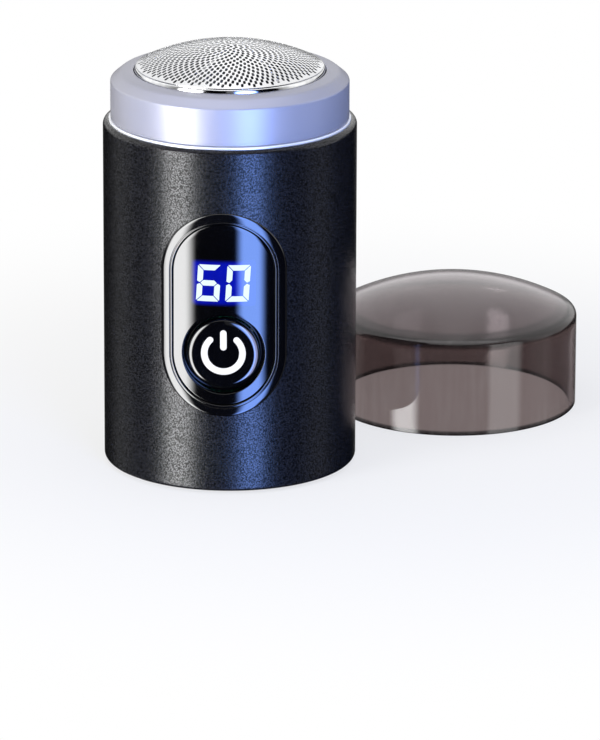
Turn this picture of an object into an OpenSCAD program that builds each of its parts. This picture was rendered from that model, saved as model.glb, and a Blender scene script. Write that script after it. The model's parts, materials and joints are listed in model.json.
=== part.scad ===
// Pocket rotary shaver with a domed foil, a lit charge display and a lift-off head.
// The body stands on its base pad with its axis on +Z and its window towards -Y.
// The origin is the centre of the base. The smoked dust cap stands beside the body.

/* [Body sleeve] */
// Outer diameter of the textured sleeve
body_d = 48; // [43:0.2:54]
// Height of the sleeve
body_h = 66.4; // [59.6:0.2:76]
// Wall thickness of the sleeve
sleeve_wall = 1.8; // [1.6:0.1:2.1]
// Rounding of the sleeve's two outer edges
edge_round = 1.0; // [0.4:0.1:1.0]
// How far the base pad stands out below the sleeve
pad_proud = 0.5; // [0.3:0.1:1.0]
// Thickness of the soft base pad
pad_t = 1.2; // [1.1:0.1:1.6]
// Margin between the base pad and the sleeve's outside
pad_margin = 3.0; // [2.6:0.1:6]
// Thickness of the base cover
cover_t = 2.4; // [2.2:0.1:3]

/* [Head] */
// Width of the sleeve's rim that shows around the head ring
shoulder = 1.45; // [1.3:0.05:1.7]
// How far the bright accent ring stands out beyond the head ring
accent_proud = 0.35; // [0.2:0.05:0.4]
// Height of the accent ring that shows above the sleeve
accent_show = 0.4; // [0.2:0.1:0.8]
// Height of the accent ring
accent_h = 2.0; // [1.6:0.1:2.4]
// Height of the head ring's upright side
ring_h = 7.1; // [6.6:0.1:9]
// Height of the head ring's sloping top
slope_h = 1.9; // [1.4:0.1:3]
// Width of the flat ledge inside the slope
ledge_w = 0.6; // [0.3:0.1:1.2]
// Wall thickness of the head ring
ring_wall = 1.55; // [1.2:0.05:1.7]
// Thickness of the head ring's top lip
lip_t = 1.2; // [0.9:0.1:1.5]
// Diameter of the foil's dome
foil_d = 35.3; // [31.6:0.1:38.8]
// Rise of the foil's dome
foil_rise = 4.1; // [3.4:0.1:5.5]
// Thickness of the foil
foil_t = 0.2; // [0.1:0.05:0.3]
// Wall thickness of the bright foil rim
rim_wall = 0.4; // [0.3:0.05:0.6]
// Height of the foil rim above the head ring
rim_proud = 0.9; // [0.6:0.1:1.4]
// Length of the head's spigot inside the body
spigot_h = 3.4; // [3:0.1:4.5]
// How far the spigot's side lies inside the head ring's side
spigot_inset = 2.6; // [2.4:0.1:2.8]
// Thickness of the steel keeper under the spigot
keeper_t = 0.4; // [0.3:0.1:0.8]
// Section diameter of the head's sealing ring
seal_d = 1.0; // [0.8:0.1:1.2]
// Radius of the locating pegs under the spigot
peg_r = 0.8; // [0.6:0.05:0.9]
// Length of the locating pegs
peg_h = 1.1; // [0.8:0.1:1.3]

/* [Cutter] */
// Number of blades
blade_count = 6; // [3:1:9]
// Thickness of a blade
blade_t = 0.5; // [0.3:0.1:0.8]
// Radial gap from the blades' tips to the foil carrier
blade_tip_gap = 0.6; // [0.4:0.1:1.5]
// Offset of each blade's plane from the axis
blade_offset = 1.8; // [1:0.1:2.6]
// Gap between the blades and the foil
cut_gap = 0.12; // [0.08:0.01:0.3]
// Outer radius of the cutter's hub
hub_r = 4.5; // [4.3:0.1:5.5]
// Across-flats width of the drive peg
hex_w = 4.0; // [3.4:0.1:4.2]
// Travel of the floating cutter
float_travel = 0.5; // [0.3:0.1:0.6]
// Wire diameter of the cutter's spring
spring_wire = 0.5; // [0.4:0.05:0.55]

/* [Window and button] */
// Half width of the window's bezel
bezel_hw = 11.75; // [11:0.05:13]
// Half height of the window's bezel
bezel_hh = 19.75; // [17.6:0.05:22]
// Width of the bezel's border
bezel_w = 2.15; // [1.6:0.05:2.4]
// Height of the window's centre above the sleeve's middle
window_z = 1.5; // [0:0.1:2.8]
// How far the bezel stands out of the sleeve
bezel_proud = 0.15; // [0.05:0.05:0.4]
// How far the panel lies below the sleeve's surface
panel_sink = 0.15; // [0.05:0.05:0.4]
// Thickness of the window's panel
panel_t = 1.9; // [1.6:0.1:2.0]
// Height of the button's centre above the centre of the panel's lower round end
button_z = 0.3; // [-0.2:0.05:0.8]
// Radius of the panel's hole around the button
well_r = 7.75; // [7.4:0.05:8]
// Radius of the button
button_r = 6.7; // [6.2:0.05:6.9]
// Depth of the finger dish in the button
dish_depth = 0.55; // [0.3:0.05:0.8]
// Travel of the button
button_travel = 0.5; // [0.3:0.1:0.6]
// Middle radius of the button's lit ring mark
icon_r = 3.65; // [3.2:0.05:4]
// Stroke width of the lit mark
icon_w = 1.32; // [1:0.02:1.5]
// Height of the display's centre above the button's centre
digits_z = 13.9; // [13.2:0.1:14.2]
// Height of a digit
digit_h = 7.1; // [6.4:0.1:7.4]
// Width of a digit
digit_w = 4.35; // [4:0.05:4.5]
// Distance between the two digits' centres
digit_pitch = 5.5; // [5.3:0.05:5.7]
// Stroke width of a digit's segment
segment_w = 1.05; // [0.8:0.05:1.2]
// Sideways lean of the digits for each millimetre of height
digit_lean = 0.065; // [0:0.005:0.1]

/* [Drive] */
// Diameter of the motor
motor_d = 24; // [22:0.5:25]
// Height of the motor's can
motor_h = 19; // [17:0.1:19.2]
// Wall thickness of the motor's can
can_wall = 0.8; // [0.6:0.1:1]
// Radius of the motor's shaft
shaft_r = 1.0; // [0.8:0.05:1.1]
// Diameter of the battery cell
cell_d = 18; // [14:0.2:19]
// Height of the battery cell without its terminal
cell_h = 34; // [30:0.2:34.2]

/* [Charging port] */
// Height of the port's centre above the sleeve's lower edge
port_z = 10; // [9.6:0.1:10.4]
// Outer width of the socket's steel shell
socket_w = 8.94; // [8.94:0.02:9.1]
// Outer height of the socket's steel shell
socket_h = 3.26; // [3.26:0.02:3.4]
// Depth of the socket
socket_l = 7.35; // [6.5:0.05:7.5]

/* [Dust cap] */
// Wall thickness of the dust cap
cap_wall = 1.1; // [0.9:0.05:1.4]
// Height of the cap's upright wall
cap_h = 18.3; // [16:0.1:24]
// Rise of the cap's domed top
cap_rise = 6.2; // [5:0.1:9]
// Sideways distance of the standing cap from the body's axis
cap_x = 42; // [40:1:60]
// Distance of the standing cap behind the body's axis
cap_y = 38; // [30:1:50]

/* [Fits] */
// Clearance between pieces that are pressed together
fit = 0.03; // [0.02:0.01:0.06]
// Clearance between the head's spigot and the body's throat
head_gap = 0.25; // [0.2:0.01:0.3]
// Clearance around the moving button and shaft
run_gap = 0.15; // [0.1:0.01:0.2]

/* [Hidden] */
$fn = 96;
EPS = 0.01;          // overlap that makes a cut clean
BIG = 200;           // longer than any piece

// Sleeve and base
body_r = body_d / 2;
bore_r = body_r - sleeve_wall;
sleeve_z0 = pad_proud;
sleeve_z1 = sleeve_z0 + body_h;
inner_r = bore_r - fit;                 // what fits inside the sleeve
pad_r = body_r - pad_margin;
cover_z0 = sleeve_z0;
cover_z1 = cover_z0 + cover_t;

// Head, from the accent ring upwards
ring_r = body_r - shoulder;
accent_r = ring_r + accent_proud;
accent_z1 = sleeve_z1 + accent_show;
accent_z0 = accent_z1 - accent_h;
spigot_r = ring_r - spigot_inset;
throat_r = spigot_r + head_gap;
foil_r = foil_d / 2;
rim_r = foil_r + rim_wall;
lip_r = rim_r + 0.15;                   // the thin dark gap around the rim
head_z0 = accent_z1 + 0.1;
side_z1 = head_z0 + ring_h;
ring_z1 = side_z1 + slope_h;
lip_z0 = ring_z1 - lip_t;
rim_z1 = ring_z1 + rim_proud;
ring_in_r = ring_r - ring_wall;
flange_r = (lip_r + ring_in_r) / 2;     // the rim's flange under the lip
flange_t = 0.5;
flange_z0 = lip_z0 - fit - flange_t;
foil_z0 = rim_z1 - 0.05;                // where the dome springs from the rim
carrier_r = ring_in_r - fit;
carrier_gap = 0.05;                     // below the ring's underside
carrier_bore_r = foil_r - foil_t - 0.25;
carrier_z1 = flange_z0 - fit;
spigot_wall = 2.75;
spigot_bore_r = spigot_r - spigot_wall;
spigot_z0 = head_z0 - spigot_h;
keeper_z0 = spigot_z0 - keeper_t;
keeper_w = 2.0;
keeper_r = spigot_r - 0.35;
peg_ring_r = keeper_r - keeper_w / 2;
groove_depth = seal_d * 0.85;
groove_h = seal_d * 1.2;
groove_z = (spigot_z0 + head_z0) / 2 - 0.1;

// Height of the ring's slope at a radius, and of the corner that leaves the lip's thickness below it
function slope_z(r) = side_z1 + slope_h * (ring_r - r) / (ring_r - lip_r - ledge_w);
corner_z = min(lip_z0, slope_z(ring_in_r) - lip_t);

// Radius of a spherical cap from its base radius and its rise
function cap_radius(r, rise) = (r * r + rise * rise) / (2 * rise);
dome_r = cap_radius(foil_r, foil_rise);
dome_z = foil_z0 + foil_rise - dome_r;  // centre of the dome's sphere
apex_z = foil_z0 + foil_rise;

// Deck under the cutter
floor_t = 1.7;
floor_z1 = keeper_z0 - 0.2;
floor_z0 = floor_z1 - floor_t;
deck_z1 = accent_z0;
deck_z0 = floor_z0 - 2.2;
boss_r = 4.2;
boss_z1 = floor_z1 + 1.9;
lip_seal_r = 3.0;
lip_seal_h = 1.0;
magnet_r = 0.8;
magnet_h = 1.2;

// Drive train
motor_r = motor_d / 2;
motor_z1 = floor_z0;
motor_z0 = motor_z1 - motor_h;
can_r = motor_r - can_wall;
nose_r = 3.0;                           // bearing noses at both ends of the motor
nose_h = 1.4;
tail_h = 0.7;
endbell_t = 2.0;
bush_r = 2.2;
coupler_z0 = boss_z1 + 0.4;
coupler_base_h = 1.3;
coupler_r = 3.5;
peg_z0 = coupler_z0 + coupler_base_h;
hex_r = hex_w / (2 * cos(30));          // across-corners radius of the peg
socket_hex_r = (hex_w + 0.3) / (2 * cos(30));
hub_z0 = peg_z0 + float_travel + 0.5;
plate_z0 = side_z1 - 1.6;
plate_t = 0.6;
carrier_step_z = plate_z0 - float_travel - 0.9;     // the carrier's bore follows the spigot up to here
hub_z1 = plate_z0 + 3.0;
peg_z1 = hub_z1 - float_travel - 1.3;
spring_z1 = hub_z0 + 2.6;
spring_r = hex_r + 0.4 + spring_wire / 2;
hub_skirt_r = spring_r + spring_wire / 2 + 0.2;
blade_r = carrier_bore_r - blade_tip_gap;
blade_dome_r = dome_r - foil_t - cut_gap;
armature_r = can_r - 2.6;
armature_z0 = motor_z0 + 5.4;
armature_z1 = motor_z1 - 4.6;
air_gap = 0.4;                          // between the core and the magnets
magnet_split = 1.6;                     // half of the space between the two magnets
core_r = shaft_r + 1.6;
pole_w = 2.4;
pole_shoe_t = 1.5;
pole_shoe_angle = 37;
winding_w = 4.8;
winding_out = 0.9;
commutator_r = shaft_r + 1.4;
brush_x = 7.0;                          // middle of the brush terminals
brush_w = 2.1;
brush_t = 0.7;
brush_arm_h = 0.4;

// Battery and chassis
chassis_wall = 1.5;
chassis_in_r = inner_r - chassis_wall;
chassis_z0 = cover_z1 + 0.1;
chassis_floor_t = 1.3;
cell_r = cell_d / 2;
cell_z0 = chassis_z0 + chassis_floor_t + 0.3;
terminal_r = 4.0;
terminal_h = 0.9;
tab_t = 0.15;
tab_reach = cell_r + 0.7;               // how far the tabs reach towards the board
shelf_t = 1.3;
shelf_z1 = motor_z0 - tail_h - 0.2;
shelf_z0 = shelf_z1 - shelf_t;
cell_z1 = cell_z0 + cell_h;
chassis_z1 = deck_z0 - 0.1;
rib_t = 1.5;
split_gap = 0.05;                       // between the two halves of the chassis
post_r = 2.0;                           // posts and bosses that the screws bite into
post_h = 4.4;
boss_l = 4.0;
slot_x = 16.0;                          // openings in the chassis' sides beside the cell
slot_w = 3.2;
slot_l = 18.0;

// Screws: radius of the head, of the shank and of the clearance round it, and lengths
screw_head_r = 1.9;
screw_r = 1.0;
screw_gap = 0.05;
base_screw_l = 5.2;
pan_head_h = 0.8;
join_head_r = 1.7;
join_head_h = 0.85;
join_screw_r = 0.8;
join_screw_l = 7.2;

// Front window; on_front() lays local Z outwards along -Y, from the body's axis
window_cz = sleeve_z0 + body_h / 2 + window_z;
panel_hw = bezel_hw - bezel_w;
panel_hh = bezel_hh - bezel_w;
bezel_out_r = body_r + bezel_proud;
bezel_in_r = bore_r - 0.9;
bezel_flange = 0.7;
panel_out_r = body_r - panel_sink;
panel_in_r = panel_out_r - panel_t;
button_cz = window_cz - (panel_hh - panel_hw) + button_z;
digits_cz = button_cz + digits_z;
button_face = panel_out_r - 0.1;        // height of the button's rim from the body's axis
button_t = 2.0;
button_back = button_face - button_t;
dish_r = button_r - 0.5;
dish_ball_r = cap_radius(dish_r, dish_depth);
icon_depth = 0.7;
icon_gap_angle = 44;                    // half of the ring mark's opening
icon_bar_low = 0.43 + icon_w / 2;
icon_bar_high = 4.55 - icon_w / 2;

// Main board behind the window
board_t = 1.2;
board_depth = 7.8;                      // from the sleeve's front to the board
board_y = -(body_r - board_depth);
board_back = board_y + board_t;
board_hw = sqrt(chassis_in_r * chassis_in_r - board_y * board_y);
board_low_gap = 3.7;                    // from the chassis' floor and to the deck
board_top_gap = 2.5;
board_z0 = chassis_z0 + chassis_floor_t + board_low_gap;
board_z1 = deck_z0 - board_top_gap;
board_hole_r = 0.8;
board_hole_in = 3.0;
flange_hw = bezel_hw + bezel_flange;
rail_front = -(sqrt(bezel_in_r * bezel_in_r - flange_hw * flange_hw) - 0.38);   // behind the bezel's flange
rail_back = board_back + 1.3;
rail_x0 = board_hw - 0.7;
rail_w = 3.2;
rail_z1 = board_z1 - 4.0;
chip_l = 5.0;                           // parts on the back of the board
chip_w = 4.0;
chip_t = 0.9;
small_chip = 3.0;
passive_l = 2.0;
passive_w = 1.2;
passive_t = 0.5;
passive_pitch = 2.1;
coil_w = 4.0;
coil_t = 1.0;
lamp_w = 1.2;                           // lamps beside the switch
lamp_h = 0.8;
lamp_t = 0.7;
lamp_x = 4.6;
lamp_z = 2.6;
switch_h = 1.7;
switch_w = 6.0;
plunger_r = 1.6;
plunger_len = 0.9;
stem_r = 2.2;
stem_gap = 0.1;
display_w = digit_pitch + digit_w + 3.0;
display_h = digit_h + 2.6;
display_t = 4.0;

// Charging port at the back
port_cz = sleeve_z0 + port_z;
socket_y1 = body_r - 0.5;
socket_y0 = socket_y1 - socket_l;
socket_wall = 0.3;
port_gap = 0.35;                        // between the socket and its trim
trim_w = 0.9;
usb_board_t = 1.0;
usb_board_w = 13;

// Internal wires, as hand-placed routes
wire_r = 0.5;

// ---------------------------------------------------------------- shapes

// Upright tube between two heights
module tube(r_out, r_in, z0, z1) {
    translate([0, 0, z0]) difference() {
        cylinder(r = r_out, h = z1 - z0);
        translate([0, 0, -EPS]) cylinder(r = r_in, h = z1 - z0 + 2 * EPS);
    }
}

// Upright solid cylinder between two heights
module rod(r, z0, z1) {
    translate([0, 0, z0]) cylinder(r = r, h = z1 - z0);
}

// Box between two corners
module box(low, high) {
    translate(low) cube(high - low);
}

// Flat outline with straight sides and round ends, half width hw and half height hh
module stadium(hw, hh) {
    if (hh >= hw) {
        square([2 * hw, 2 * (hh - hw)], center = true);
        for (s = [-1, 1]) translate([0, s * (hh - hw)]) circle(r = hw);
    } else {
        square([2 * (hw - hh), 2 * hh], center = true);
        for (s = [-1, 1]) translate([s * (hw - hh), 0]) circle(r = hh);
    }
}

// Half of a revolved outline whose top outer edge is rounded
module rounded_wall(r_in, r_out, z0, z1, round_top, round_low) {
    low = max(round_low, EPS);
    top = max(round_top, EPS);
    side = max(low, top);
    translate([r_in, z0]) square([r_out - side - r_in, z1 - z0]);
    translate([r_out - side - EPS, z0 + low]) square([side + EPS, z1 - z0 - low - top]);
    translate([r_out - side - EPS, z0]) square([side - low + EPS, z1 - z0]);
    translate([r_out - side - EPS, z0]) square([side - top + EPS, z1 - z0]);
    translate([r_out - top, z1 - top]) circle(r = top);
    translate([r_out - low, z0 + low]) circle(r = low);
}

// Local X stays, local Y points up and local Z points out of the front
module on_front(z) {
    translate([0, 0, z]) rotate([90, 0, 0]) children();
}

// Local X stays, local Y points up and local Z points out of the back
module on_back(z) {
    translate([0, 0, z]) rotate([90, 0, 180]) children();
}

// Curved plate: the part of a tube that a stadium outline cuts out
module curved_plate(r_in, r_out, hw, hh, z, back = false) {
    intersection() {
        tube(r_out, r_in, z - hh - 1, z + hh + 1);
        if (back) on_back(z) linear_extrude(height = BIG) stadium(hw, hh);
        else on_front(z) linear_extrude(height = BIG) stadium(hw, hh);
    }
}

// Countersunk screw pointing down local -Z from its head at the origin
module flat_screw(head_r, shank_r, length) {
    head_h = head_r - shank_r;
    difference() {
        union() {
            translate([0, 0, -head_h]) cylinder(r1 = shank_r, r2 = head_r, h = head_h);
            translate([0, 0, -length]) cylinder(r = shank_r, h = length - head_h + EPS);
        }
        cross_recess(head_r * 0.55, head_h * 0.6);
    }
}

// Cylinder-headed screw pointing down local -Z, with the top of its head at the origin
module pan_screw(head_r, head_h, shank_r, length) {
    difference() {
        union() {
            translate([0, 0, -head_h]) cylinder(r = head_r, h = head_h);
            translate([0, 0, -length]) cylinder(r = shank_r, h = length - head_h + EPS);
        }
        cross_recess(head_r * 0.55, head_h * 0.6);
    }
}

// Cross-shaped driver recess, cut down from the origin
module cross_recess(reach, depth) {
    slot = reach * 0.4;
    translate([0, 0, -depth]) linear_extrude(height = depth + 1) {
        square([2 * reach, slot], center = true);
        square([slot, 2 * reach], center = true);
    }
}

// Copies its children at n equal steps round the axis
module around(n, radius, start = 0) {
    for (i = [0 : n - 1]) rotate([0, 0, start + i * 360 / n]) translate([radius, 0, 0]) children();
}

// Unit direction of a vector
function unit(v) = v / norm(v);

// Direction of a route at point i, taken from its neighbours
function heading(p, i) = unit(p[min(i + 1, len(p) - 1)] - p[max(i - 1, 0)]);

// Round tube swept along a route, closed at both ends
module swept(p, r, sides = 8) {
    n = len(p);
    lean = [0.23, 0.91, 0.34];
    rings = [for (i = [0 : n - 1]) let (
        t = heading(p, i),
        u = unit(cross(t, lean)),
        v = cross(t, u)
    ) for (k = [0 : sides - 1]) let (a = 360 * k / sides) p[i] + r * (cos(a) * u + sin(a) * v)];
    walls = [for (i = [0 : n - 2], k = [0 : sides - 1], half = [0, 1]) let (
        a = i * sides + k,
        b = i * sides + (k + 1) % sides
    ) half == 0 ? [a, b, b + sides] : [a, b + sides, a + sides]];
    low_end = [for (k = [sides - 1 : -1 : 0]) k];
    far_end = [for (k = [0 : sides - 1]) (n - 1) * sides + k];
    polyhedron(points = rings, faces = concat(walls, [low_end, far_end]), convexity = 6);
}

// ---------------------------------------------------------------- body

// Textured sleeve with its window, its port and the seat of the accent ring
module sleeve() {
    color("#1b1c1f") difference() {
        rotate_extrude() rounded_wall(bore_r, body_r, sleeve_z0, sleeve_z1, edge_round, edge_round * 0.8);
        rod(accent_r + fit, accent_z0, sleeve_z1 + 1);
        on_front(window_cz) linear_extrude(height = BIG) stadium(bezel_hw + fit, bezel_hh + fit);
        on_back(port_cz) linear_extrude(height = BIG) stadium(trim_hw() + fit, trim_hh() + fit);
    }
}

// Bright ring between the sleeve and the head
module accent_ring() {
    color("#f2f4f6") rotate_extrude()
        rounded_wall(throat_r, accent_r, accent_z0 + fit, accent_z1, 0.25, 0.1);
}

// Plate that closes the sleeve from below
module base_cover() {
    color("#141416") difference() {
        rod(inner_r, cover_z0, cover_z1);
        rod(pad_r + fit, cover_z0 - 1, pad_top());
        tube(inner_r + 1, cover_groove_r(), cover_seal_z() - groove_h / 2, cover_seal_z() + groove_h / 2);
        around(3, screw_ring_r()) {
            rod(screw_r + screw_gap, -1, BIG);
            translate([0, 0, pad_top() - EPS]) cylinder(
                r1 = screw_head_r + 3 * screw_gap,
                r2 = screw_r + screw_gap,
                h = screw_head_r - screw_r + 2 * screw_gap);
        }
    }
}
function pad_top() = pad_t + fit;
function cover_groove_r() = inner_r - seal_d * 0.8;
function cover_seal_z() = cover_z1 - groove_h / 2 - 0.4;
function screw_ring_r() = chassis_in_r - 3.6;

// Soft pad that the body stands on
module base_pad() {
    color("#0d0d0e") difference() {
        rod(pad_r, 0, pad_t);
        tube(pad_r - 2.4, pad_r - 3.2, -1, 0.3);
    }
}

// Sealing ring round the base cover
module base_seal() {
    color("#2b2b2e") rotate_extrude()
        translate([cover_groove_r() + seal_d * 0.4 + fit, cover_seal_z()]) circle(r = seal_d * 0.4);
}

// Three countersunk screws that hold the base cover to the chassis
module base_screws() {
    color("#b9bcc2") around(3, screw_ring_r())
        translate([0, 0, pad_top() + fit]) mirror([0, 0, 1]) flat_screw(screw_head_r, screw_r, base_screw_l);
}

// Floor under the cutter, with the throat that takes the head's spigot
module top_deck() {
    color("#17181a") difference() {
        union() {
            rod(inner_r, floor_z0, floor_z1);
            tube(inner_r, throat_r, floor_z0, deck_z1);
            tube(inner_r, inner_r - 1.6, deck_z0, floor_z1);
            rod(boss_r, floor_z1 - EPS, boss_z1);
        }
        rod(shaft_r + 0.5, floor_z0 - 1, boss_z1 + 1);
        rod(nose_r + fit, floor_z0 - 1, floor_z0 + nose_h + fit);
        rod(lip_seal_r + fit, boss_z1 - lip_seal_h - fit, boss_z1 + 1);
        around(3, peg_ring_r) rod(peg_r + 0.15, floor_z1 - peg_h - 0.1, floor_z1 + 1);
        around(3, peg_ring_r, 60) rod(magnet_r + fit, floor_z1 - magnet_h - fit, floor_z1 + 1);
        around(2, motor_screw_r(), 45) {
            rod(screw_r + 2 * screw_gap, floor_z0 - 1, floor_z1 + 1);
            rod(screw_head_r + 2 * screw_gap, floor_z1 - pan_head_h - 0.1, floor_z1 + 1);
        }
    }
}
function motor_screw_r() = can_r - 3.2;

// Magnets in the deck that hold the head down
module deck_magnets() {
    color("#9da1a6") around(3, peg_ring_r, 60) rod(magnet_r, floor_z1 - magnet_h, floor_z1 - 0.02);
}

// Lip seal round the motor's shaft
module shaft_seal() {
    color("#7a1f1f") difference() {
        rod(lip_seal_r, boss_z1 - lip_seal_h, boss_z1);
        rod(shaft_r + run_gap, boss_z1 - BIG / 2, boss_z1 + 1);
        translate([0, 0, boss_z1 - 0.4]) cylinder(r1 = shaft_r + run_gap, r2 = shaft_r + 0.9, h = 0.5);
    }
}

// Two screws that hold the motor to the deck
module motor_screws() {
    color("#c3c6cb") around(2, motor_screw_r(), 45)
        translate([0, 0, floor_z1 - 0.05])
            pan_screw(screw_head_r, pan_head_h, screw_r, floor_t + can_wall + 0.4);
}

// ---------------------------------------------------------------- chassis

// The whole chassis before it is split into a front and a rear half
module chassis_whole() {
    difference() {
        union() {
            tube(inner_r, chassis_in_r, chassis_z0, chassis_z1);
            rod(chassis_in_r + EPS, chassis_z0, chassis_z0 + chassis_floor_t);
            tube(chassis_in_r + EPS, 6, shelf_z0, shelf_z1);
            for (z = [cell_z0 + 6, cell_z1 - 8]) tube(chassis_in_r + EPS, cell_r + 0.15, z, z + rib_t);
            for (z = [motor_z0 + 3, motor_z1 - 5]) tube(chassis_in_r + EPS, motor_r + 0.1, z, z + rib_t);
            around(3, screw_ring_r()) rod(post_r, chassis_z0, chassis_z0 + post_h);
        }
        around(3, screw_ring_r()) rod(screw_r + 0.02, chassis_z0 - 1, chassis_z0 + post_h - 0.8);
        for (x = [-slot_x, slot_x])
            box([x - slot_w / 2, -slot_l / 2, cell_z0 + 10], [x + slot_w / 2, slot_l / 2, cell_z1 - 12]);
    }
}

// Bosses on both halves for the screws that join them, each on a web to the wall
module chassis_bosses(y0, y1, hole_r) {
    web_l = chassis_in_r + 0.2 - chassis_screw_x();
    for (side = [0, 1], z = chassis_screw_zs())
        mirror([side, 0, 0]) translate([chassis_screw_x(), 0, z]) difference() {
            union() {
                translate([0, y0, 0]) rotate([-90, 0, 0]) cylinder(r = post_r, h = y1 - y0);
                box([0, y0, -post_r / 2], [web_l, y1, post_r / 2]);
            }
            translate([0, y0 - 1, 0]) rotate([-90, 0, 0]) cylinder(r = hole_r, h = y1 - y0 + 2);
        }
}
function chassis_screw_x() = chassis_in_r - 3.0;
function chassis_screw_zs() = [cell_z0 + 17, motor_z0 + 9.5];

// Front half, with the rails that hold the main board behind the window
module chassis_front() {
    color("#d9dbd8") {
        difference() {
            union() {
                intersection() {
                    chassis_whole();
                    box([-BIG, -BIG, 0], [BIG, -split_gap, BIG]);
                }
                intersection() {
                    rod(inner_r, chassis_z0, rail_z1);
                    for (side = [0, 1]) mirror([side, 0, 0])
                        box([rail_x0, rail_front, chassis_z0], [rail_x0 + rail_w, rail_back, rail_z1]);
                }
            }
            board_room();
            window_room();
            wire_room();
        }
        chassis_bosses(-boss_l, -split_gap, join_screw_r + screw_gap);
    }
}

// Space that the board slides into
module board_room() {
    box([-board_hw - 0.1, board_y - 0.1, board_z0 - 0.1], [board_hw + 0.1, board_y + board_t + 0.1, BIG]);
    box([-rail_x0, -BIG, board_z0 - 1.2], [rail_x0, rail_back, BIG]);
}

// Space for the bezel's flange and the panel's fittings
module window_room() {
    box([-flange_hw - 0.4, -BIG, window_cz - bezel_hh - bezel_flange - 0.4],
        [flange_hw + 0.4, rail_front - EPS, window_cz + bezel_hh + bezel_flange + 0.4]);
}

// Passages for the wires through floor, shelf and ribs
module wire_room() {
    box([-6, rail_back - 1, chassis_z0 + chassis_floor_t], [6, -cell_r - 0.2, chassis_z1 + 1]);
    box([-8.4, rail_back - 1, shelf_z0 - 1], [8.4, 1, motor_z0 + 0.1]);
}

// Rear half, with the screws' clearance holes and the seat of the charging board
module chassis_rear() {
    color("#cfd2cf") {
        difference() {
            intersection() {
                chassis_whole();
                box([-BIG, split_gap, 0], [BIG, BIG, BIG]);
            }
            on_back(port_cz) linear_extrude(height = BIG) stadium(trim_hw() + 0.4, trim_hh() + 0.4);
            box([-usb_board_w / 2 - 0.2, cell_r + 1, port_cz - socket_h / 2 - usb_board_t - 0.1],
                [usb_board_w / 2 + 0.2, BIG, port_cz + socket_h / 2 + 0.5]);
            box([-4.6, 0, shelf_z0 - 1], [4.6, 9, shelf_z1 + 1]);
        }
        for (x = [-1, 1])
            box([x * 4.6 - 0.9, socket_y0 - 0.5, chassis_z0 + chassis_floor_t - EPS],
                [x * 4.6 + 0.9, socket_y0 + 3, port_cz - socket_h / 2 - usb_board_t - fit]);
        chassis_bosses(split_gap, boss_l, join_screw_r + 5 * screw_gap);
    }
}

// Four screws that join the chassis halves
module chassis_screws() {
    color("#b9bcc2") for (x = [-1, 1], z = chassis_screw_zs())
        translate([x * chassis_screw_x(), boss_l + join_head_h + screw_gap, z]) rotate([-90, 0, 0])
            pan_screw(join_head_r, join_head_h, join_screw_r, join_screw_l);
}

// ---------------------------------------------------------------- window

// Gloss frame round the panel, held from inside by its flange
module window_bezel() {
    color("#0b0b0d") difference() {
        union() {
            curved_plate(bezel_in_r, bezel_out_r, bezel_hw, bezel_hh, window_cz);
            curved_plate(bezel_in_r, bore_r - fit, flange_hw, bezel_hh + bezel_flange, window_cz);
        }
        on_front(window_cz) linear_extrude(height = BIG) stadium(panel_hw + fit, panel_hh + fit);
    }
}

// Gloss panel with the button's well hole and a light window for each segment
module window_panel() {
    color("#050507") difference() {
        curved_plate(panel_in_r, panel_out_r, panel_hw, panel_hh, window_cz);
        on_front(button_cz) cylinder(r = well_r, h = BIG);
        on_front(digits_cz) linear_extrude(height = BIG) digits();
    }
}

// Lit segments, flush with the panel
module digit_lights() {
    color("#dff2ff") intersection() {
        tube(panel_out_r, panel_in_r, digits_cz - digit_h, digits_cz + digit_h);
        on_front(digits_cz) linear_extrude(height = BIG) digits();
    }
}

// Corner points of one segment: a top bar, an upper left bar or a middle bar
a = digit_w / 2;
b = digit_h / 2;
t = segment_w;
m = 0.11;                               // half of the gap where two segments meet
top_bar = [[-a + m, b], [a - m, b], [a - t - m, b - t], [-a + t + m, b - t]];
left_bar = [[-a, b - m], [-a + t, b - t - m], [-a + t, t / 2 + m], [-a + t / 2, m], [-a, t / 4 + m]];
middle_bar = [[-a + t / 2 + m, 0], [-a + t + m, t / 2], [a - t - m, t / 2],
              [a - t / 2 - m, 0], [a - t - m, -t / 2], [-a + t + m, -t / 2]];

// One segment, flipped into its place and leaning with its digit
module segment(points, flip_x, flip_y) {
    polygon([for (p = points) let (y = flip_y * p[1]) [flip_x * p[0] + digit_lean * y, y]]);
}

// The two digits of the charge display
module digits() {
    translate([-digit_pitch / 2, 0]) {
        segment(top_bar, 1, 1);
        segment(top_bar, 1, -1);
        segment(middle_bar, 1, 1);
        segment(left_bar, 1, 1);
        segment(left_bar, 1, -1);
        segment(left_bar, -1, -1);
    }
    translate([digit_pitch / 2, 0]) {
        for (s = [-1, 1]) segment(top_bar, 1, s);
        for (sx = [-1, 1], sy = [-1, 1]) segment(left_bar, sx, sy);
    }
}

// Ring that guides the button in the panel
module button_well() {
    color("#0a0a0c") difference() {
        union() {
            on_front(button_cz) rod(well_r - fit, panel_in_r - 2.2, button_face - 0.55);
            intersection() {
                tube(panel_in_r - fit, panel_in_r - 0.7, button_cz - BIG / 10, button_cz + BIG / 10);
                on_front(button_cz) cylinder(r = well_r + 0.9, h = BIG);
            }
        }
        on_front(button_cz) cylinder(r = button_r + run_gap, h = BIG);
    }
}

// Push button with its finger dish and its stem; it moves inwards
module power_button() {
    color("#0a0a0c") on_front(button_cz) difference() {
        union() {
            rotate_extrude() rounded_wall(0, button_r, button_back, button_face, 0.35, 0.1);
            rod(stem_r, -board_y + switch_h + plunger_len + stem_gap, button_back + EPS);
        }
        dish_ball();
        translate([0, 0, button_face - dish_depth - icon_depth]) linear_extrude(height = BIG) icon();
    }
}

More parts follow.
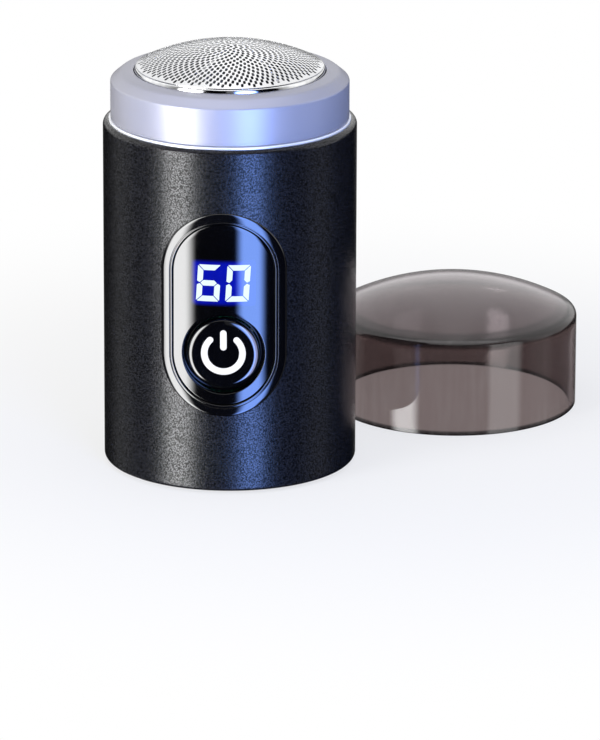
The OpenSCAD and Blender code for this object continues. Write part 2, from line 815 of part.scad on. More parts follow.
// Lit mark of the button, flush with its dish
module button_icon() {
    color("#ffffff") on_front(button_cz) difference() {
        translate([0, 0, button_face - dish_depth - icon_depth]) linear_extrude(height = 1.5) icon();
        dish_ball();
    }
}

// Ball whose underside forms the finger dish
module dish_ball() {
    translate([0, 0, button_face - dish_depth]) rotate_extrude() intersection() {
        translate([0, dish_ball_r]) circle(r = dish_ball_r, $fn = 720);
        square([dish_r + 2, 3]);
    }
}

// Outline of the mark: an open ring and an upright bar
module icon() {
    reach = icon_r + icon_w;
    difference() {
        circle(r = icon_r + icon_w / 2);
        circle(r = icon_r - icon_w / 2);
        polygon([[0, 0], [-reach * tan(icon_gap_angle), reach], [reach * tan(icon_gap_angle), reach]]);
    }
    for (s = [-1, 1])
        translate(icon_r * [s * sin(icon_gap_angle), cos(icon_gap_angle)]) circle(r = icon_w / 2 - 0.04);
    for (y = [icon_bar_low, icon_bar_high]) translate([0, y]) circle(r = icon_w / 2);
    translate([-icon_w / 2, icon_bar_low]) square([icon_w, icon_bar_high - icon_bar_low]);
}

// ---------------------------------------------------------------- electronics

// Main circuit board
module main_board() {
    color("#14532d") difference() {
        box([-board_hw, board_y, board_z0], [board_hw, board_back, board_z1]);
        for (x = [-1, 1], z = [board_z0 + board_hole_in, board_z1 - board_hole_in])
            translate([x * (board_hw - board_hole_in), board_y - 1, z])
                rotate([-90, 0, 0]) cylinder(r = board_hole_r, h = board_t + 2);
    }
}

// Flat part on the back of the board, with its low corner at x and z
module board_part(x, z, w, h, t) {
    box([x, board_back + fit, z], [x + w, board_back + fit + t, z + h]);
}

// Chips on the back of the board
module board_chips() {
    color("#202124") {
        board_part(-chip_l, board_z0 + chip_w, chip_l, chip_l, chip_t);
        board_part(chip_l / 2, board_z0 + 3.5 * chip_w, chip_l, chip_w, chip_t);
        board_part(-3 * small_chip, board_z0 + 5 * chip_w, small_chip, small_chip, chip_t);
        board_part(2 * small_chip, board_z1 - 2 * chip_w - small_chip, small_chip, small_chip, chip_t);
    }
}

// Small resistors and capacitors in rows, and the power inductor
module board_passives() {
    edge = rail_x0 - passive_w;
    row_z = board_z0 + chip_w;
    color("#b08d57") {
        for (i = [0 : 4])
            board_part(-edge + passive_pitch * i, row_z + 1.4 * chip_l, passive_w, passive_l, passive_t);
        for (i = [1 : 4])
            board_part(edge - passive_pitch * i, row_z + passive_w, passive_w, passive_l, passive_t);
        for (i = [0 : 3])
            board_part(-edge, row_z + 4.4 * chip_l + passive_pitch * i, passive_l, passive_w, passive_t);
        board_part(edge - coil_w, board_z0 + 5.5 * coil_w, coil_w, coil_w, coil_t);
    }
}

// Small lamps beside the switch that light the button's mark
module status_leds() {
    color("#fff3c4") for (x = [-1, 1], z = [-1, 1])
        box([x * lamp_x - lamp_w / 2, board_y - fit - lamp_t, button_cz + z * lamp_z - lamp_h / 2],
            [x * lamp_x + lamp_w / 2, board_y - fit, button_cz + z * lamp_z + lamp_h / 2]);
}

// Two-digit lamp module behind the panel
module display_module() {
    color("#e8e8e4") difference() {
        box([-display_w / 2, board_y - fit - display_t, digits_cz - display_h / 2],
            [display_w / 2, board_y - fit, digits_cz + display_h / 2]);
        on_front(digits_cz) translate([0, 0, -board_y + display_t - 1]) linear_extrude(height = 3) digits();
    }
}

// Tactile switch under the button
module tact_switch() {
    color("#8d9196") difference() {
        box([-switch_w / 2, board_y - fit - switch_h, button_cz - switch_w / 2],
            [switch_w / 2, board_y - fit, button_cz + switch_w / 2]);
        on_front(button_cz)
            rod(plunger_r + 0.1, -board_y + switch_h - 2 * button_travel - 0.1, -board_y + switch_h + 1);
    }
}

// Plunger of the switch; it moves with the button
module switch_plunger() {
    color("#3a3a3d") on_front(button_cz)
        rod(plunger_r, -board_y + switch_h - button_travel, -board_y + switch_h + plunger_len);
}

// Small board that carries the charging socket
module usb_board() {
    color("#14532d") box([-usb_board_w / 2, socket_y0 - 1.5, port_cz - socket_h / 2 - usb_board_t],
                         [usb_board_w / 2, socket_y0 + 4.1, port_cz - socket_h / 2 - fit]);
}

// Steel shell of the charging socket, open to the back
module usb_socket() {
    color("#c9ccd0") on_back(port_cz) difference() {
        translate([0, 0, socket_y0]) linear_extrude(height = socket_l) stadium(socket_w / 2, socket_h / 2);
        translate([0, 0, socket_y0 + 0.8]) linear_extrude(height = socket_l)
            stadium(socket_w / 2 - socket_wall, socket_h / 2 - socket_wall);
    }
}

// Contact tongue inside the socket
module usb_tongue() {
    color("#1d1d20") on_back(port_cz)
        box([-3.3, -0.35, socket_y0 + 0.8 + fit], [3.3, 0.35, socket_y1 - 0.9]);
}

function trim_hw() = socket_w / 2 + port_gap + trim_w;
function trim_hh() = socket_h / 2 + port_gap + trim_w;

// Smooth trim round the charging port
module port_trim() {
    color("#101012") difference() {
        union() {
            curved_plate(bore_r - 0.8, body_r - 0.1, trim_hw(), trim_hh(), port_cz, back = true);
            curved_plate(bore_r - 0.8, bore_r - fit, trim_hw() + 0.3, trim_hh() + 0.3, port_cz, back = true);
        }
        on_back(port_cz) linear_extrude(height = BIG)
            stadium(socket_w / 2 + port_gap, socket_h / 2 + port_gap);
    }
}

// ---------------------------------------------------------------- battery

// Wrapped battery cell
module battery_cell() {
    color("#2f6fb3") rotate_extrude() rounded_wall(0, cell_r, cell_z0 + tab_t, cell_z1, 0.6, 0.4);
}

// Raised positive terminal of the cell
module battery_terminal() {
    color("#d4d6d9") rod(terminal_r, cell_z1 + fit, cell_z1 + terminal_h);
}

// Welded nickel strips over both ends of the cell
module battery_tabs() {
    color("#c8cacc") {
        box([-2.5, -tab_reach, cell_z0 - 0.05], [2.5, cell_r - 2, cell_z0 + tab_t - 0.02]);
        box([-2, -tab_reach, cell_z1 + terminal_h + 0.02], [2, 3, cell_z1 + terminal_h + 0.02 + tab_t]);
    }
}

// ---------------------------------------------------------------- motor

// Steel can of the motor with the nose that centres it in the deck
module motor_can() {
    color("#b4b8bd") difference() {
        union() {
            rotate_extrude() rounded_wall(0, motor_r, motor_z0, motor_z1, 0.8, 0.1);
            rod(nose_r, motor_z1 - EPS, motor_z1 + nose_h);
        }
        rod(can_r, motor_z0 - 1, motor_z1 - can_wall);
        rod(bush_r + fit, motor_z1 - can_wall - 1, motor_z1 + nose_h - 0.4);
        rod(shaft_r + run_gap, motor_z1, motor_z1 + nose_h + 1);
        around(2, motor_screw_r(), 45) rod(1.02, motor_z1 - can_wall - 1, motor_z1 + 1);
    }
}

// Plastic end bell that closes the motor from below
module motor_endbell() {
    color("#e9e6da") difference() {
        union() {
            rod(can_r - fit, motor_z0, motor_z0 + endbell_t);
            rod(nose_r, motor_z0 - tail_h, motor_z0 + EPS);
        }
        rod(bush_r + fit, motor_z0 - tail_h + 0.3, motor_z0 + endbell_t + 1);
        for (x = [-brush_x, brush_x])
            box([x - brush_w / 2 - 0.05, -brush_t / 2 - 0.05, motor_z0 - 1],
                [x + brush_w / 2 + 0.05, brush_t / 2 + 0.05, motor_z0 + endbell_t + 1]);
    }
}

// Two curved field magnets inside the can
module motor_magnets() {
    color("#4a4d52") for (s = [0, 180]) rotate([0, 0, s]) intersection() {
        tube(can_r - fit, armature_r + air_gap, armature_z0 - 1, armature_z1 + 1);
        box([magnet_split, -BIG, 0], [BIG, BIG, BIG]);
    }
}

// Sintered bearing bushes at both ends
module motor_bushes() {
    color("#b08a4a") {
        tube(bush_r, shaft_r + 0.02, motor_z1 - can_wall, motor_z1 + nose_h - 0.4 - fit);
        tube(bush_r, shaft_r + 0.02, motor_z0 - tail_h + 0.3 + fit, motor_z0 + endbell_t);
    }
}

// Copper brush springs and terminals on the end bell
module motor_brushes() {
    arm_z1 = motor_z0 + endbell_t + 2 * brush_arm_h;
    color("#c98f4e") for (side = [0, 1]) mirror([side, 0, 0]) {
        box([brush_x - brush_w / 2, -brush_t / 2, motor_z0 - 0.6],
            [brush_x + brush_w / 2, brush_t / 2, arm_z1]);
        box([commutator_r + 0.05, -brush_t / 2, arm_z1 - brush_arm_h],
            [brush_x - brush_w / 2 + EPS, brush_t / 2, arm_z1]);
    }
}

// Steel shaft from the lower bush up into the coupler
module motor_shaft() {
    color("#d7dade") rod(shaft_r, motor_z0 - tail_h + 0.35, coupler_z0 + coupler_base_h + 1.5);
}

// Three-pole laminated core on the shaft
module motor_armature() {
    color("#8e9297") difference() {
        union() {
            rod(core_r, armature_z0, armature_z1);
            for (i = [0 : 2]) rotate([0, 0, 120 * i]) {
                box([core_r - 0.8, -pole_w / 2, armature_z0],
                    [armature_r - pole_shoe_t + 0.3, pole_w / 2, armature_z1]);
                intersection() {
                    tube(armature_r, armature_r - pole_shoe_t, armature_z0, armature_z1);
                    translate([0, 0, armature_z0 - 1]) linear_extrude(height = armature_z1 - armature_z0 + 2)
                        polygon([
                            [0.5, 0],
                            [motor_r, -motor_r * tan(pole_shoe_angle)],
                            [motor_r, motor_r * tan(pole_shoe_angle)]
                        ]);
                }
            }
        }
        rod(shaft_r + fit, 0, BIG);
    }
}

// Copper winding on each pole
module motor_windings() {
    color("#a8541f") for (i = [0 : 2]) rotate([0, 0, 120 * i]) difference() {
        box([core_r + 0.6, -winding_w / 2, armature_z0 - winding_out],
            [armature_r - pole_shoe_t - 0.7, winding_w / 2, armature_z1 + winding_out]);
        box([0, -pole_w / 2 - fit, armature_z0 - fit], [armature_r, pole_w / 2 + fit, armature_z1 + fit]);
        rod(core_r + fit, 0, BIG);
    }
}

// Copper commutator under the core
module motor_commutator() {
    color("#c77b3a") difference() {
        tube(commutator_r, shaft_r + fit, motor_z0 + endbell_t + 0.2, armature_z0 - 1.0);
        for (i = [0 : 2]) rotate([0, 0, 60 + 120 * i])
            box([shaft_r + 0.9, -0.15, 0], [BIG, 0.15, BIG]);
    }
}

// Coupler on the shaft, with the six-sided peg that turns the cutter
module drive_coupler() {
    color("#eeeeea") difference() {
        union() {
            rod(coupler_r, coupler_z0, peg_z0);
            translate([0, 0, peg_z0 - EPS]) cylinder(r = hex_r, h = peg_z1 - peg_z0 + EPS, $fn = 6);
        }
        rod(shaft_r + fit, coupler_z0 - 1, coupler_z0 + coupler_base_h + 1.5 + fit);
    }
}

// ---------------------------------------------------------------- cutter

// Coil spring that floats the cutter against the foil
module cutter_spring() {
    turns = 4;
    steps = 16;
    low = peg_z0 + spring_wire / 2 + 0.02;
    high = spring_z1 - spring_wire / 2 - 0.05;
    n = turns * steps;
    color("#cfd3d8") swept([for (i = [0 : n]) [
        spring_r * cos(360 * i / steps),
        spring_r * sin(360 * i / steps),
        low + (high - low) * i / n
    ]], spring_wire / 2);
}

// Plastic hub with the six-sided socket and the skirt round the spring
module cutter_hub() {
    color("#26272a") difference() {
        rod(hub_r, hub_z0, hub_z1);
        rod(hub_skirt_r, hub_z0 - 1, spring_z1);
        translate([0, 0, hub_z0]) cylinder(r = socket_hex_r, h = hub_z1 - 0.9 - hub_z0, $fn = 6);
        for (i = [0 : blade_count - 1]) rotate([0, 0, 360 * i / blade_count])
            translate([hub_r - 0.5, blade_offset - blade_t / 2 - 0.02, plate_z0 - fit])
                cube([BIG, blade_t + 0.04, BIG]);
    }
}

// Steel plate that carries the blades
module cutter_plate() {
    color("#c4c8cc") difference() {
        rod(blade_r, plate_z0, plate_z0 + plate_t);
        rod(hub_r + fit, plate_z0 - 1, plate_z0 + plate_t + 1);
        around(blade_count, (blade_r + hub_r) / 2, 180 / blade_count)
            rod((blade_r - hub_r) / 2 - 2.2, plate_z0 - 1, plate_z0 + plate_t + 1);
    }
}

// Upright blades whose top edges follow the inside of the foil
module cutter_blades() {
    color("#e3e6ea") intersection() {
        translate([0, 0, dome_z]) sphere(r = blade_dome_r);
        tube(blade_r, hub_r + fit, plate_z0 + plate_t + fit, apex_z);
        for (i = [0 : blade_count - 1]) rotate([0, 0, 360 * i / blade_count])
            translate([0, blade_offset - blade_t / 2, plate_z0 + plate_t + fit]) cube([BIG, blade_t, BIG]);
    }
}

// ---------------------------------------------------------------- head

// Anodised ring with its sloping top
module head_ring() {
    color("#a9aede") rotate_extrude() polygon([
        [ring_in_r, head_z0],
        [ring_r - 0.2, head_z0],
        [ring_r, head_z0 + 0.2],
        [ring_r, side_z1],
        [lip_r + ledge_w, ring_z1],
        [lip_r, ring_z1],
        [lip_r, lip_z0],
        [flange_r, lip_z0],
        [ring_in_r, corner_z]
    ]);
}

// Bright drawn rim that frames the foil
module foil_rim() {
    color("#e9edf1") rotate_extrude() {
        translate([foil_r + fit, flange_z0]) square([rim_wall - fit, rim_z1 - rim_wall / 2 - flange_z0]);
        translate([foil_r + rim_wall / 2 + fit / 2, rim_z1 - rim_wall / 2]) circle(r = (rim_wall - fit) / 2);
        translate([foil_r + fit, flange_z0]) square([flange_r - foil_r - fit, flange_t]);
    }
}

// Domed foil with its skirt inside the rim
module foil() {
    color("#d5d9dd") {
        intersection() {
            translate([0, 0, dome_z]) difference() {
                sphere(r = dome_r);
                sphere(r = dome_r - foil_t);
            }
            rod(foil_r, foil_z0 - foil_t, apex_z + 1);
        }
        tube(foil_r, foil_r - foil_t, carrier_z1 + fit, foil_z0);
    }
}

// Plastic carrier that clamps the foil in the head ring and plugs into the body
module foil_carrier() {
    color("#1a1b1d") {
        difference() {
            union() {
                tube(carrier_r, spigot_bore_r, head_z0, carrier_step_z + EPS);
                rotate_extrude() difference() {
                    translate([carrier_bore_r, carrier_step_z])
                        square([carrier_r - carrier_bore_r, carrier_z1 - carrier_step_z]);
                    polygon([
                        [flange_r, lip_z0 - carrier_gap],
                        [ring_in_r, corner_z - carrier_gap],
                        [ring_r, corner_z - carrier_gap],
                        [ring_r, ring_z1],
                        [flange_r, ring_z1]
                    ]);
                }
                tube(spigot_r, spigot_bore_r, spigot_z0, head_z0 + EPS);
            }
            tube(BIG, spigot_r - groove_depth, groove_z - groove_h / 2, groove_z + groove_h / 2);
        }
        around(3, peg_ring_r) rod(peg_r, keeper_z0 - 0.2 - peg_h, spigot_z0 + EPS);
    }
}

// Steel ring under the spigot that the deck's magnets pull on
module head_keeper() {
    color("#a7abb0") difference() {
        tube(keeper_r, keeper_r - keeper_w, keeper_z0, spigot_z0 - 0.02);
        around(3, peg_ring_r) rod(peg_r + 0.05, keeper_z0 - 1, spigot_z0 + 1);
    }
}

// Sealing ring in the spigot's groove
module head_seal() {
    color("#202124") rotate_extrude()
        translate([spigot_r - groove_depth + seal_d / 2 + 0.02, groove_z]) circle(r = seal_d / 2);
}

// ---------------------------------------------------------------- wires

// Red and black leads from the cell's tabs to the board
module battery_wires() {
    high = cell_z1 + terminal_h + tab_t;
    color("#b3261e") swept([
        [1.2, -tab_reach - fit, high - 0.2],
        [1.2, -tab_reach - 0.5, high - 0.25],
        [1.2, -tab_reach - 0.9, high - 1.2],
        [1.3, -tab_reach - 1.2, high - 4],
        [1.4, -tab_reach - 1.8, high - 8],
        [1.5, board_back + 1.6, high - 10],
        [1.5, board_back + 0.9, high - 10.6],
        [1.5, board_back + fit, high - 10.6]
    ], wire_r);
    color("#1a1a1a") swept([
        [-1.6, -tab_reach - fit, cell_z0 + 0.3],
        [-1.6, -tab_reach - 0.6, cell_z0 + 0.4],
        [-2.0, -tab_reach - 1.0, cell_z0 + 1.6],
        [-3.4, -tab_reach - 1.2, cell_z0 + 7],
        [-4.2, -tab_reach - 1.3, cell_z0 + 14],
        [-4.4, board_back + 1.9, cell_z0 + 18.6],
        [-4.4, board_back + 0.9, cell_z0 + 19.4],
        [-4.4, board_back + fit, cell_z0 + 19.4]
    ], wire_r);
}
// Leads from the motor's terminals to the board
module motor_wires() {
    color("#e0b100") for (s = [-1, 1]) swept([
        [s * brush_x, -brush_t / 2 - fit, motor_z0 - 0.56],
        [s * brush_x, -1.6, motor_z0 - 0.57],
        [s * 6.6, -4.5, motor_z0 - 0.9],
        [s * 5.6, -8.6, motor_z0 - 1.4],
        [s * 4.9, -11.6, motor_z0 - 2.2],
        [s * 4.4, board_back + 1.6, motor_z0 - 3.2],
        [s * 4.4, board_back + 0.9, motor_z0 - 3.5],
        [s * 4.4, board_back + fit, motor_z0 - 3.5]
    ], wire_r);
}

// Leads from the charging board round the cell to the main board
module charge_wires() {
    z = port_cz - socket_h / 2 - usb_board_t / 2;
    color("#2d2d30") for (s = [-1, 1]) swept([
        [s * (usb_board_w / 2 + fit), socket_y0 - 0.2, z],
        [s * (usb_board_w / 2 + 0.9), socket_y0 - 0.3, z],
        [s * 9.8, 13.6, z + 0.1],
        [s * 12.4, 9.5, z + 0.3],
        [s * 13.6, 4.5, z + 0.5],
        [s * 13.7, 0, z + 0.7],
        [s * 12.9, -4.5, z + 0.9],
        [s * 11.0, -8.6, z + 1.1],
        [s * 9.4, -11.6, z + 1.2],
        [s * 8.7, board_back + 1.5, z + 1.25],
        [s * 8.6, board_back + 0.8, z + 1.25],
        [s * 8.6, board_back + fit, z + 1.25]
    ], wire_r);
}

// ---------------------------------------------------------------- dust cap

// Smoked cap with its domed top, standing on its rim
module dust_cap() {
    cap_r = body_r;
    in_r = cap_r - cap_wall;
    ball = cap_radius(cap_r, cap_rise);
    in_ball = ball - cap_wall;
    ball_z = cap_h + cap_rise - ball;
    color([0.33, 0.29, 0.31, 0.6]) translate([cap_x, cap_y, 0]) rotate_extrude() difference() {
        union() {
            rounded_wall(0, cap_r, 0, cap_h, EPS, 0.2);
            intersection() {
                translate([0, ball_z]) circle(r = ball);
                translate([0, cap_h - EPS]) square([cap_r, cap_rise + 1]);
            }
        }
        translate([-1, -1]) square([in_r + 1, cap_h + 1 - cap_wall]);
        intersection() {
            translate([0, ball_z]) circle(r = in_ball);
            translate([-1, cap_h - cap_wall - EPS]) square([in_r + 1, cap_rise + cap_wall]);
        }
        translate([-BIG, -1]) square([BIG, BIG]);
    }
}

// ---------------------------------------------------------------- nodes

sleeve();
accent_ring();
base_cover();
base_pad();
base_seal();
base_screws();
top_deck();
deck_magnets();
shaft_seal();
motor_screws();
chassis_front();
chassis_rear();
chassis_screws();
window_bezel();
window_panel();
digit_lights();
button_well();
main_board();
board_chips();
board_passives();
status_leds();
display_module();
tact_switch();
usb_board();
usb_socket();
usb_tongue();
port_trim();
battery_cell();
battery_terminal();
battery_tabs();
motor_can();
motor_endbell();
motor_magnets();
motor_bushes();
motor_brushes();
battery_wires();
motor_wires();
charge_wires();
power_button();
button_icon();
switch_plunger();
motor_shaft();
motor_armature();
motor_windings();
motor_commutator();
drive_coupler();
cutter_spring();
cutter_hub();
cutter_plate();
cutter_blades();
head_ring();
foil_rim();
foil();
foil_carrier();
head_keeper();
head_seal();
dust_cap();
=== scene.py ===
import json
import math

import bmesh
import bpy
import numpy as np
from bpy.props import FloatProperty, FloatVectorProperty, IntProperty, PointerProperty
from mathutils import Matrix, Vector
from mathutils.geometry import delaunay_2d_cdt


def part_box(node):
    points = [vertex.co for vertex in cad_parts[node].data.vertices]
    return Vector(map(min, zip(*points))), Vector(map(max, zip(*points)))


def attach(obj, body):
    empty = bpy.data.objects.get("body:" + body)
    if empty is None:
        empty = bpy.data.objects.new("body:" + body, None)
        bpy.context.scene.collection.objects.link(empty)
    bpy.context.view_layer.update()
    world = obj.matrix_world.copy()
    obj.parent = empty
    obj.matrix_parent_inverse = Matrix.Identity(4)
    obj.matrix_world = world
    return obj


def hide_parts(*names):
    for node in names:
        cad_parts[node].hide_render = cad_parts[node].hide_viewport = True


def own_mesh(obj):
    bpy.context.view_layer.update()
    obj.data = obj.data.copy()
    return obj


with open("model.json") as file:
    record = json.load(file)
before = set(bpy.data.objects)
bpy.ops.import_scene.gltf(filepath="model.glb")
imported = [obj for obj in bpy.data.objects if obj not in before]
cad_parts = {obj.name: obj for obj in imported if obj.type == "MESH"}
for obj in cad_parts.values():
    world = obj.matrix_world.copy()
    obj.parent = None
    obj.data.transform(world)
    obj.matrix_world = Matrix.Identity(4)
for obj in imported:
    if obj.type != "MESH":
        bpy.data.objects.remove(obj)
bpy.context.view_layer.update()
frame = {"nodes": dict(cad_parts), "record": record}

bl_info = {
    "name": "Pocket shaver",
    "version": (1, 0, 0),
    "blender": (4, 5, 0),
    "location": "3D View > Sidebar > Shaver",
    "description": "Dresses the pocket shaver's frame with its modelled pieces and finishes",
    "category": "Object",
}

MM = 0.001
TURN = 2 * math.pi


# ---------------------------------------------------------------- places from the frame

def reach(node):
    """Highest corner of a CAD node, in metres."""
    return np.array(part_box(node)[1])


def foot(node):
    """Lowest corner of a CAD node, in metres."""
    return np.array(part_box(node)[0])


PANEL_HW = reach("window_panel")[0]
PANEL_HH = (reach("window_panel")[2] - foot("window_panel")[2]) / 2
WINDOW_Z = (reach("window_panel")[2] + foot("window_panel")[2]) / 2
PANEL_R = -foot("window_panel")[1]
BEZEL_R = -foot("window_bezel")[1]
BUTTON_R = reach("power_button")[0]
BUTTON_Z = (reach("power_button")[2] + foot("power_button")[2]) / 2
BUTTON_FACE = -foot("power_button")[1]
DIGITS_LOW, DIGITS_HIGH = foot("digit_lights"), reach("digit_lights")
RING_R = reach("head_ring")[0]
RING_Z0, RING_Z1 = foot("head_ring")[2], reach("head_ring")[2]
ACCENT_R = reach("accent_ring")[0]
ACCENT_Z0, ACCENT_Z1 = foot("accent_ring")[2], reach("accent_ring")[2]
FOIL_R = reach("foil")[0]
FOIL_TOP, FOIL_LOW = reach("foil")[2], foot("foil")[2]
RIM_Z0, RIM_Z1 = foot("foil_rim")[2], reach("foil_rim")[2]
CAP_MID = (reach("dust_cap") + foot("dust_cap")) / 2
CAP_R = (reach("dust_cap")[0] - foot("dust_cap")[0]) / 2
CAP_TOP = reach("dust_cap")[2]
GOLDEN_ANGLE = math.pi * (3 - math.sqrt(5))

# The studio that gloss and glass show. Angles are compass angles in degrees, counted from the
# front towards the right, and a stretch is (start, end, softness of its ends). On both sides
# alike, the horizon sinks over the angles SIDES and comes back up over BEHIND.
DARK_GAPS = (-33, 1, 3), (33, 65, 3)
DIM_FRONT, DIM_SHARE = (-75, 75, 20), 0.85
SIDE_GLOWS, GLOW_LEVEL = ((-126, -98, 8), (74, 104, 8)), 0.25
BACK_GLOW = 162, 176
SIDES, SIDE_SINK = (58, 70), 0.13
BEHIND, BACK_SINK = (118, 134), -0.12

# Strip lights: compass angles of their ends, shares of the width over which the ends fade, the
# colour property and the radiance; then what a lamp is kept off or kept for.
STRIPS = {
    "left strip": ((-62.8, -26.8), (0.35, 0.33), "left_light", 9.8),
    "right strip": ((7, 37), (0.3, 0.32), "right_light", 11.5),
    "cap strip": ((37, 75), (0.2, 0.25), "left_light", 2.2),
    "button strip": ((16, 62), (0.3, 0.3), "crown_light", 6.5),
}
LINKED = {
    "right strip": ("EXCLUDE", ("dust_cap_shell", "foil_dome")),
    "cap strip": ("INCLUDE", ("dust_cap_shell",)),
    "button strip": ("INCLUDE", ("button_cap",)),
    "top softbox": ("EXCLUDE", ("sleeve",)),
}


# ---------------------------------------------------------------- sizes and colours

def length(name, description, millimetres):
    """A length property, given in millimetres and kept in metres."""
    return FloatProperty(name=name, description=description, default=millimetres * MM,
                         unit="LENGTH", subtype="DISTANCE", precision=5)


def colour(name, description, *rgb):
    """A linear colour property."""
    return FloatVectorProperty(name=name, description=description, default=rgb, size=3,
                               subtype="COLOR", min=0, max=1)


class ShaverSizes(bpy.types.PropertyGroup):
    """Sizes of the modelled pieces; places come from the frame."""
    bezel_width: length("Bezel width", "Width of the gloss frame round the window", 2.15)
    bezel_edge: length("Bezel edge", "Rounding of the frame's outer edge", 0.28)
    bead_width: length("Bead width", "Width of the thin bead along the frame's inner edge", 0.34)
    panel_gap: length("Panel gap", "Dark gap between the frame and the panel", 0.08)
    panel_edge: length("Panel edge", "Rounding of the panel's edges", 0.12)
    hole_radius: length("Hole radius", "Radius of the panel's hole round the button", 7.75)
    crown_width: length("Crown width", "Width of the button's rounded edge", 1.0)
    dish_depth: length("Dish depth", "Depth of the finger dish", 0.22)
    mark_radius: length("Mark radius", "Middle radius of the lit mark on the button", 3.58)
    mark_width: length("Mark width", "Stroke width of the lit mark", 1.27)
    mark_lift: length("Mark lift", "Height of the mark's centre above the button's centre", 0.2)
    mark_bar_low: length("Bar low end", "Height of the bar's low end above the mark's centre", 0.5)
    mark_bar_high: length("Bar high end", "Height of the bar's high end", 4.55)
    mark_gap: FloatProperty(name="Mark opening", description="Half of the ring mark's opening",
                            default=math.radians(44), subtype="ANGLE")
    digit_width: length("Digit width", "Width of a digit", 4.35)
    digit_height: length("Digit height", "Height of a digit", 7.1)
    digit_pitch: length("Digit pitch", "Distance between the digits' centres", 5.5)
    segment_width: length("Segment width", "Stroke width of a lit segment", 1.05)
    digit_lean: FloatProperty(name="Digit lean", description="Sideways lean per height",
                              default=0.065)
    slope_height: length("Slope height", "Height of the head ring's sloping top", 1.9)
    slope_swell: length("Slope swell", "How far the slope swells out, half way up", 0.62)
    ledge_width: length("Ledge width", "Width of the flat ledge inside the slope", 0.6)
    rim_wall: length("Rim wall", "Thickness of the chrome rim round the foil", 0.4)
    rim_gap: length("Rim gap", "Dark gap between the rim and the head ring", 0.15)
    foil_rise: length("Foil rise", "Rise of the foil's dome", 4.1)
    foil_thickness: length("Foil thickness", "Thickness of the foil", 0.14)
    rim_step: length("Rim step", "Depth of the chrome rim below the foil's edge", 0.24)
    foil_band: length("Foil band", "Plain band inside the foil's edge", 0.22)
    slot_spacing: length("Slot spacing", "Spacing of the foil's slots", 0.575)
    slot_length: length("Slot length", "Length of a slot in the foil", 0.96)
    slot_width: length("Slot width", "Width of a slot in the foil", 0.52)
    slot_lean: FloatProperty(name="Slot lean", description="Turn of a slot from the radius",
                             default=math.radians(-8), subtype="ANGLE")
    spring_wire: length("Spring wire", "Wire thickness of the cutter's spring", 0.5)
    spring_turns: IntProperty(name="Spring turns", description="Turns of the cutter's spring",
                              default=4)
    cap_wall: length("Cap wall", "Wall thickness of the dust cap", 1.1)
    cap_rise: length("Cap rise", "Rise of the dust cap's top", 6.2)
    cap_shoulder: length("Cap shoulder", "Rounding of the cap's shoulder", 1.3)
    cap_fillet: length("Cap fillet", "Fillet inside the cap's shoulder", 2.4)


class ShaverColours(bpy.types.PropertyGroup):
    """Linear colours of the finishes that show."""
    coat: colour("Powder coat", "Grained coat of the body", 0.006, 0.006, 0.0068)
    ring: colour("Head ring", "Satin anodised ring", 0.385, 0.383, 0.432)
    foil: colour("Foil", "Electroformed foil", 0.9, 0.905, 0.92)
    chrome: colour("Chrome", "Rim and accent ring", 0.9, 0.92, 0.95)
    glow: colour("Display glow", "Blue haze behind the digits", 0.001, 0.006, 0.45)
    digits: colour("Digits", "Lit segments", 0.8, 0.98, 0.94)
    mark: colour("Mark", "Lit power mark", 1.0, 1.0, 1.0)
    smoke: colour("Smoked cap", "Clear smoked plastic", 0.28, 0.235, 0.245)
    left_light: colour("Left light", "Neutral strip light", 1.0, 1.0, 1.0)
    right_light: colour("Right light", "Blue strip light", 0.21, 0.375, 1.0)
    crown_light: colour("Button light", "Light that only the button's crown shows", 0.5, 0.56, 1)


def sizes():
    return bpy.context.scene.shaver_sizes


def colours():
    return bpy.context.scene.shaver_colours


# ---------------------------------------------------------------- outlines

def rounded(points, radii, steps=6):
    """Closed outline whose corners are arcs: each corner gives way to a circle that touches
    both of its sides, and a radius of zero keeps it sharp."""
    points = np.asarray(points, float)
    radii = np.broadcast_to(radii, len(points))
    result = []
    for before, corner, after, radius in zip(np.roll(points, 1, 0), points,
                                             np.roll(points, -1, 0), radii):
        one, two = before - corner, after - corner
        len_one, len_two = np.linalg.norm(one), np.linalg.norm(two)
        one, two = one / len_one, two / len_two
        half = math.acos(float(np.clip(one @ two, -1, 1))) / 2
        if radius <= 0 or half < 1e-3 or half > math.pi / 2 - 1e-3:
            result.append(corner[None])
            continue
        back = min(radius / math.tan(half), 0.48 * len_one, 0.48 * len_two)
        radius = back * math.tan(half)
        bisector = (one + two) / np.linalg.norm(one + two)
        centre = corner + bisector * radius / math.sin(half)
        start, end = corner + one * back - centre, corner + two * back - centre
        sweep = math.acos(float(np.clip(start @ end / radius ** 2, -1, 1)))
        s = np.linspace(0, 1, steps)[:, None]
        arc = (np.sin((1 - s) * sweep) * start + np.sin(s * sweep) * end) / math.sin(sweep)
        result.append(centre + arc)
    return np.concatenate(result)


def finely(outline, step=0.35 * MM):
    """The same closed outline with points at most a step apart."""
    result = []
    for one, two in zip(outline, np.roll(outline, -1, 0)):
        parts = max(1, math.ceil(np.linalg.norm(two - one) / step))
        result.append(one + (two - one) * np.arange(parts)[:, None] / parts)
    return np.concatenate(result)


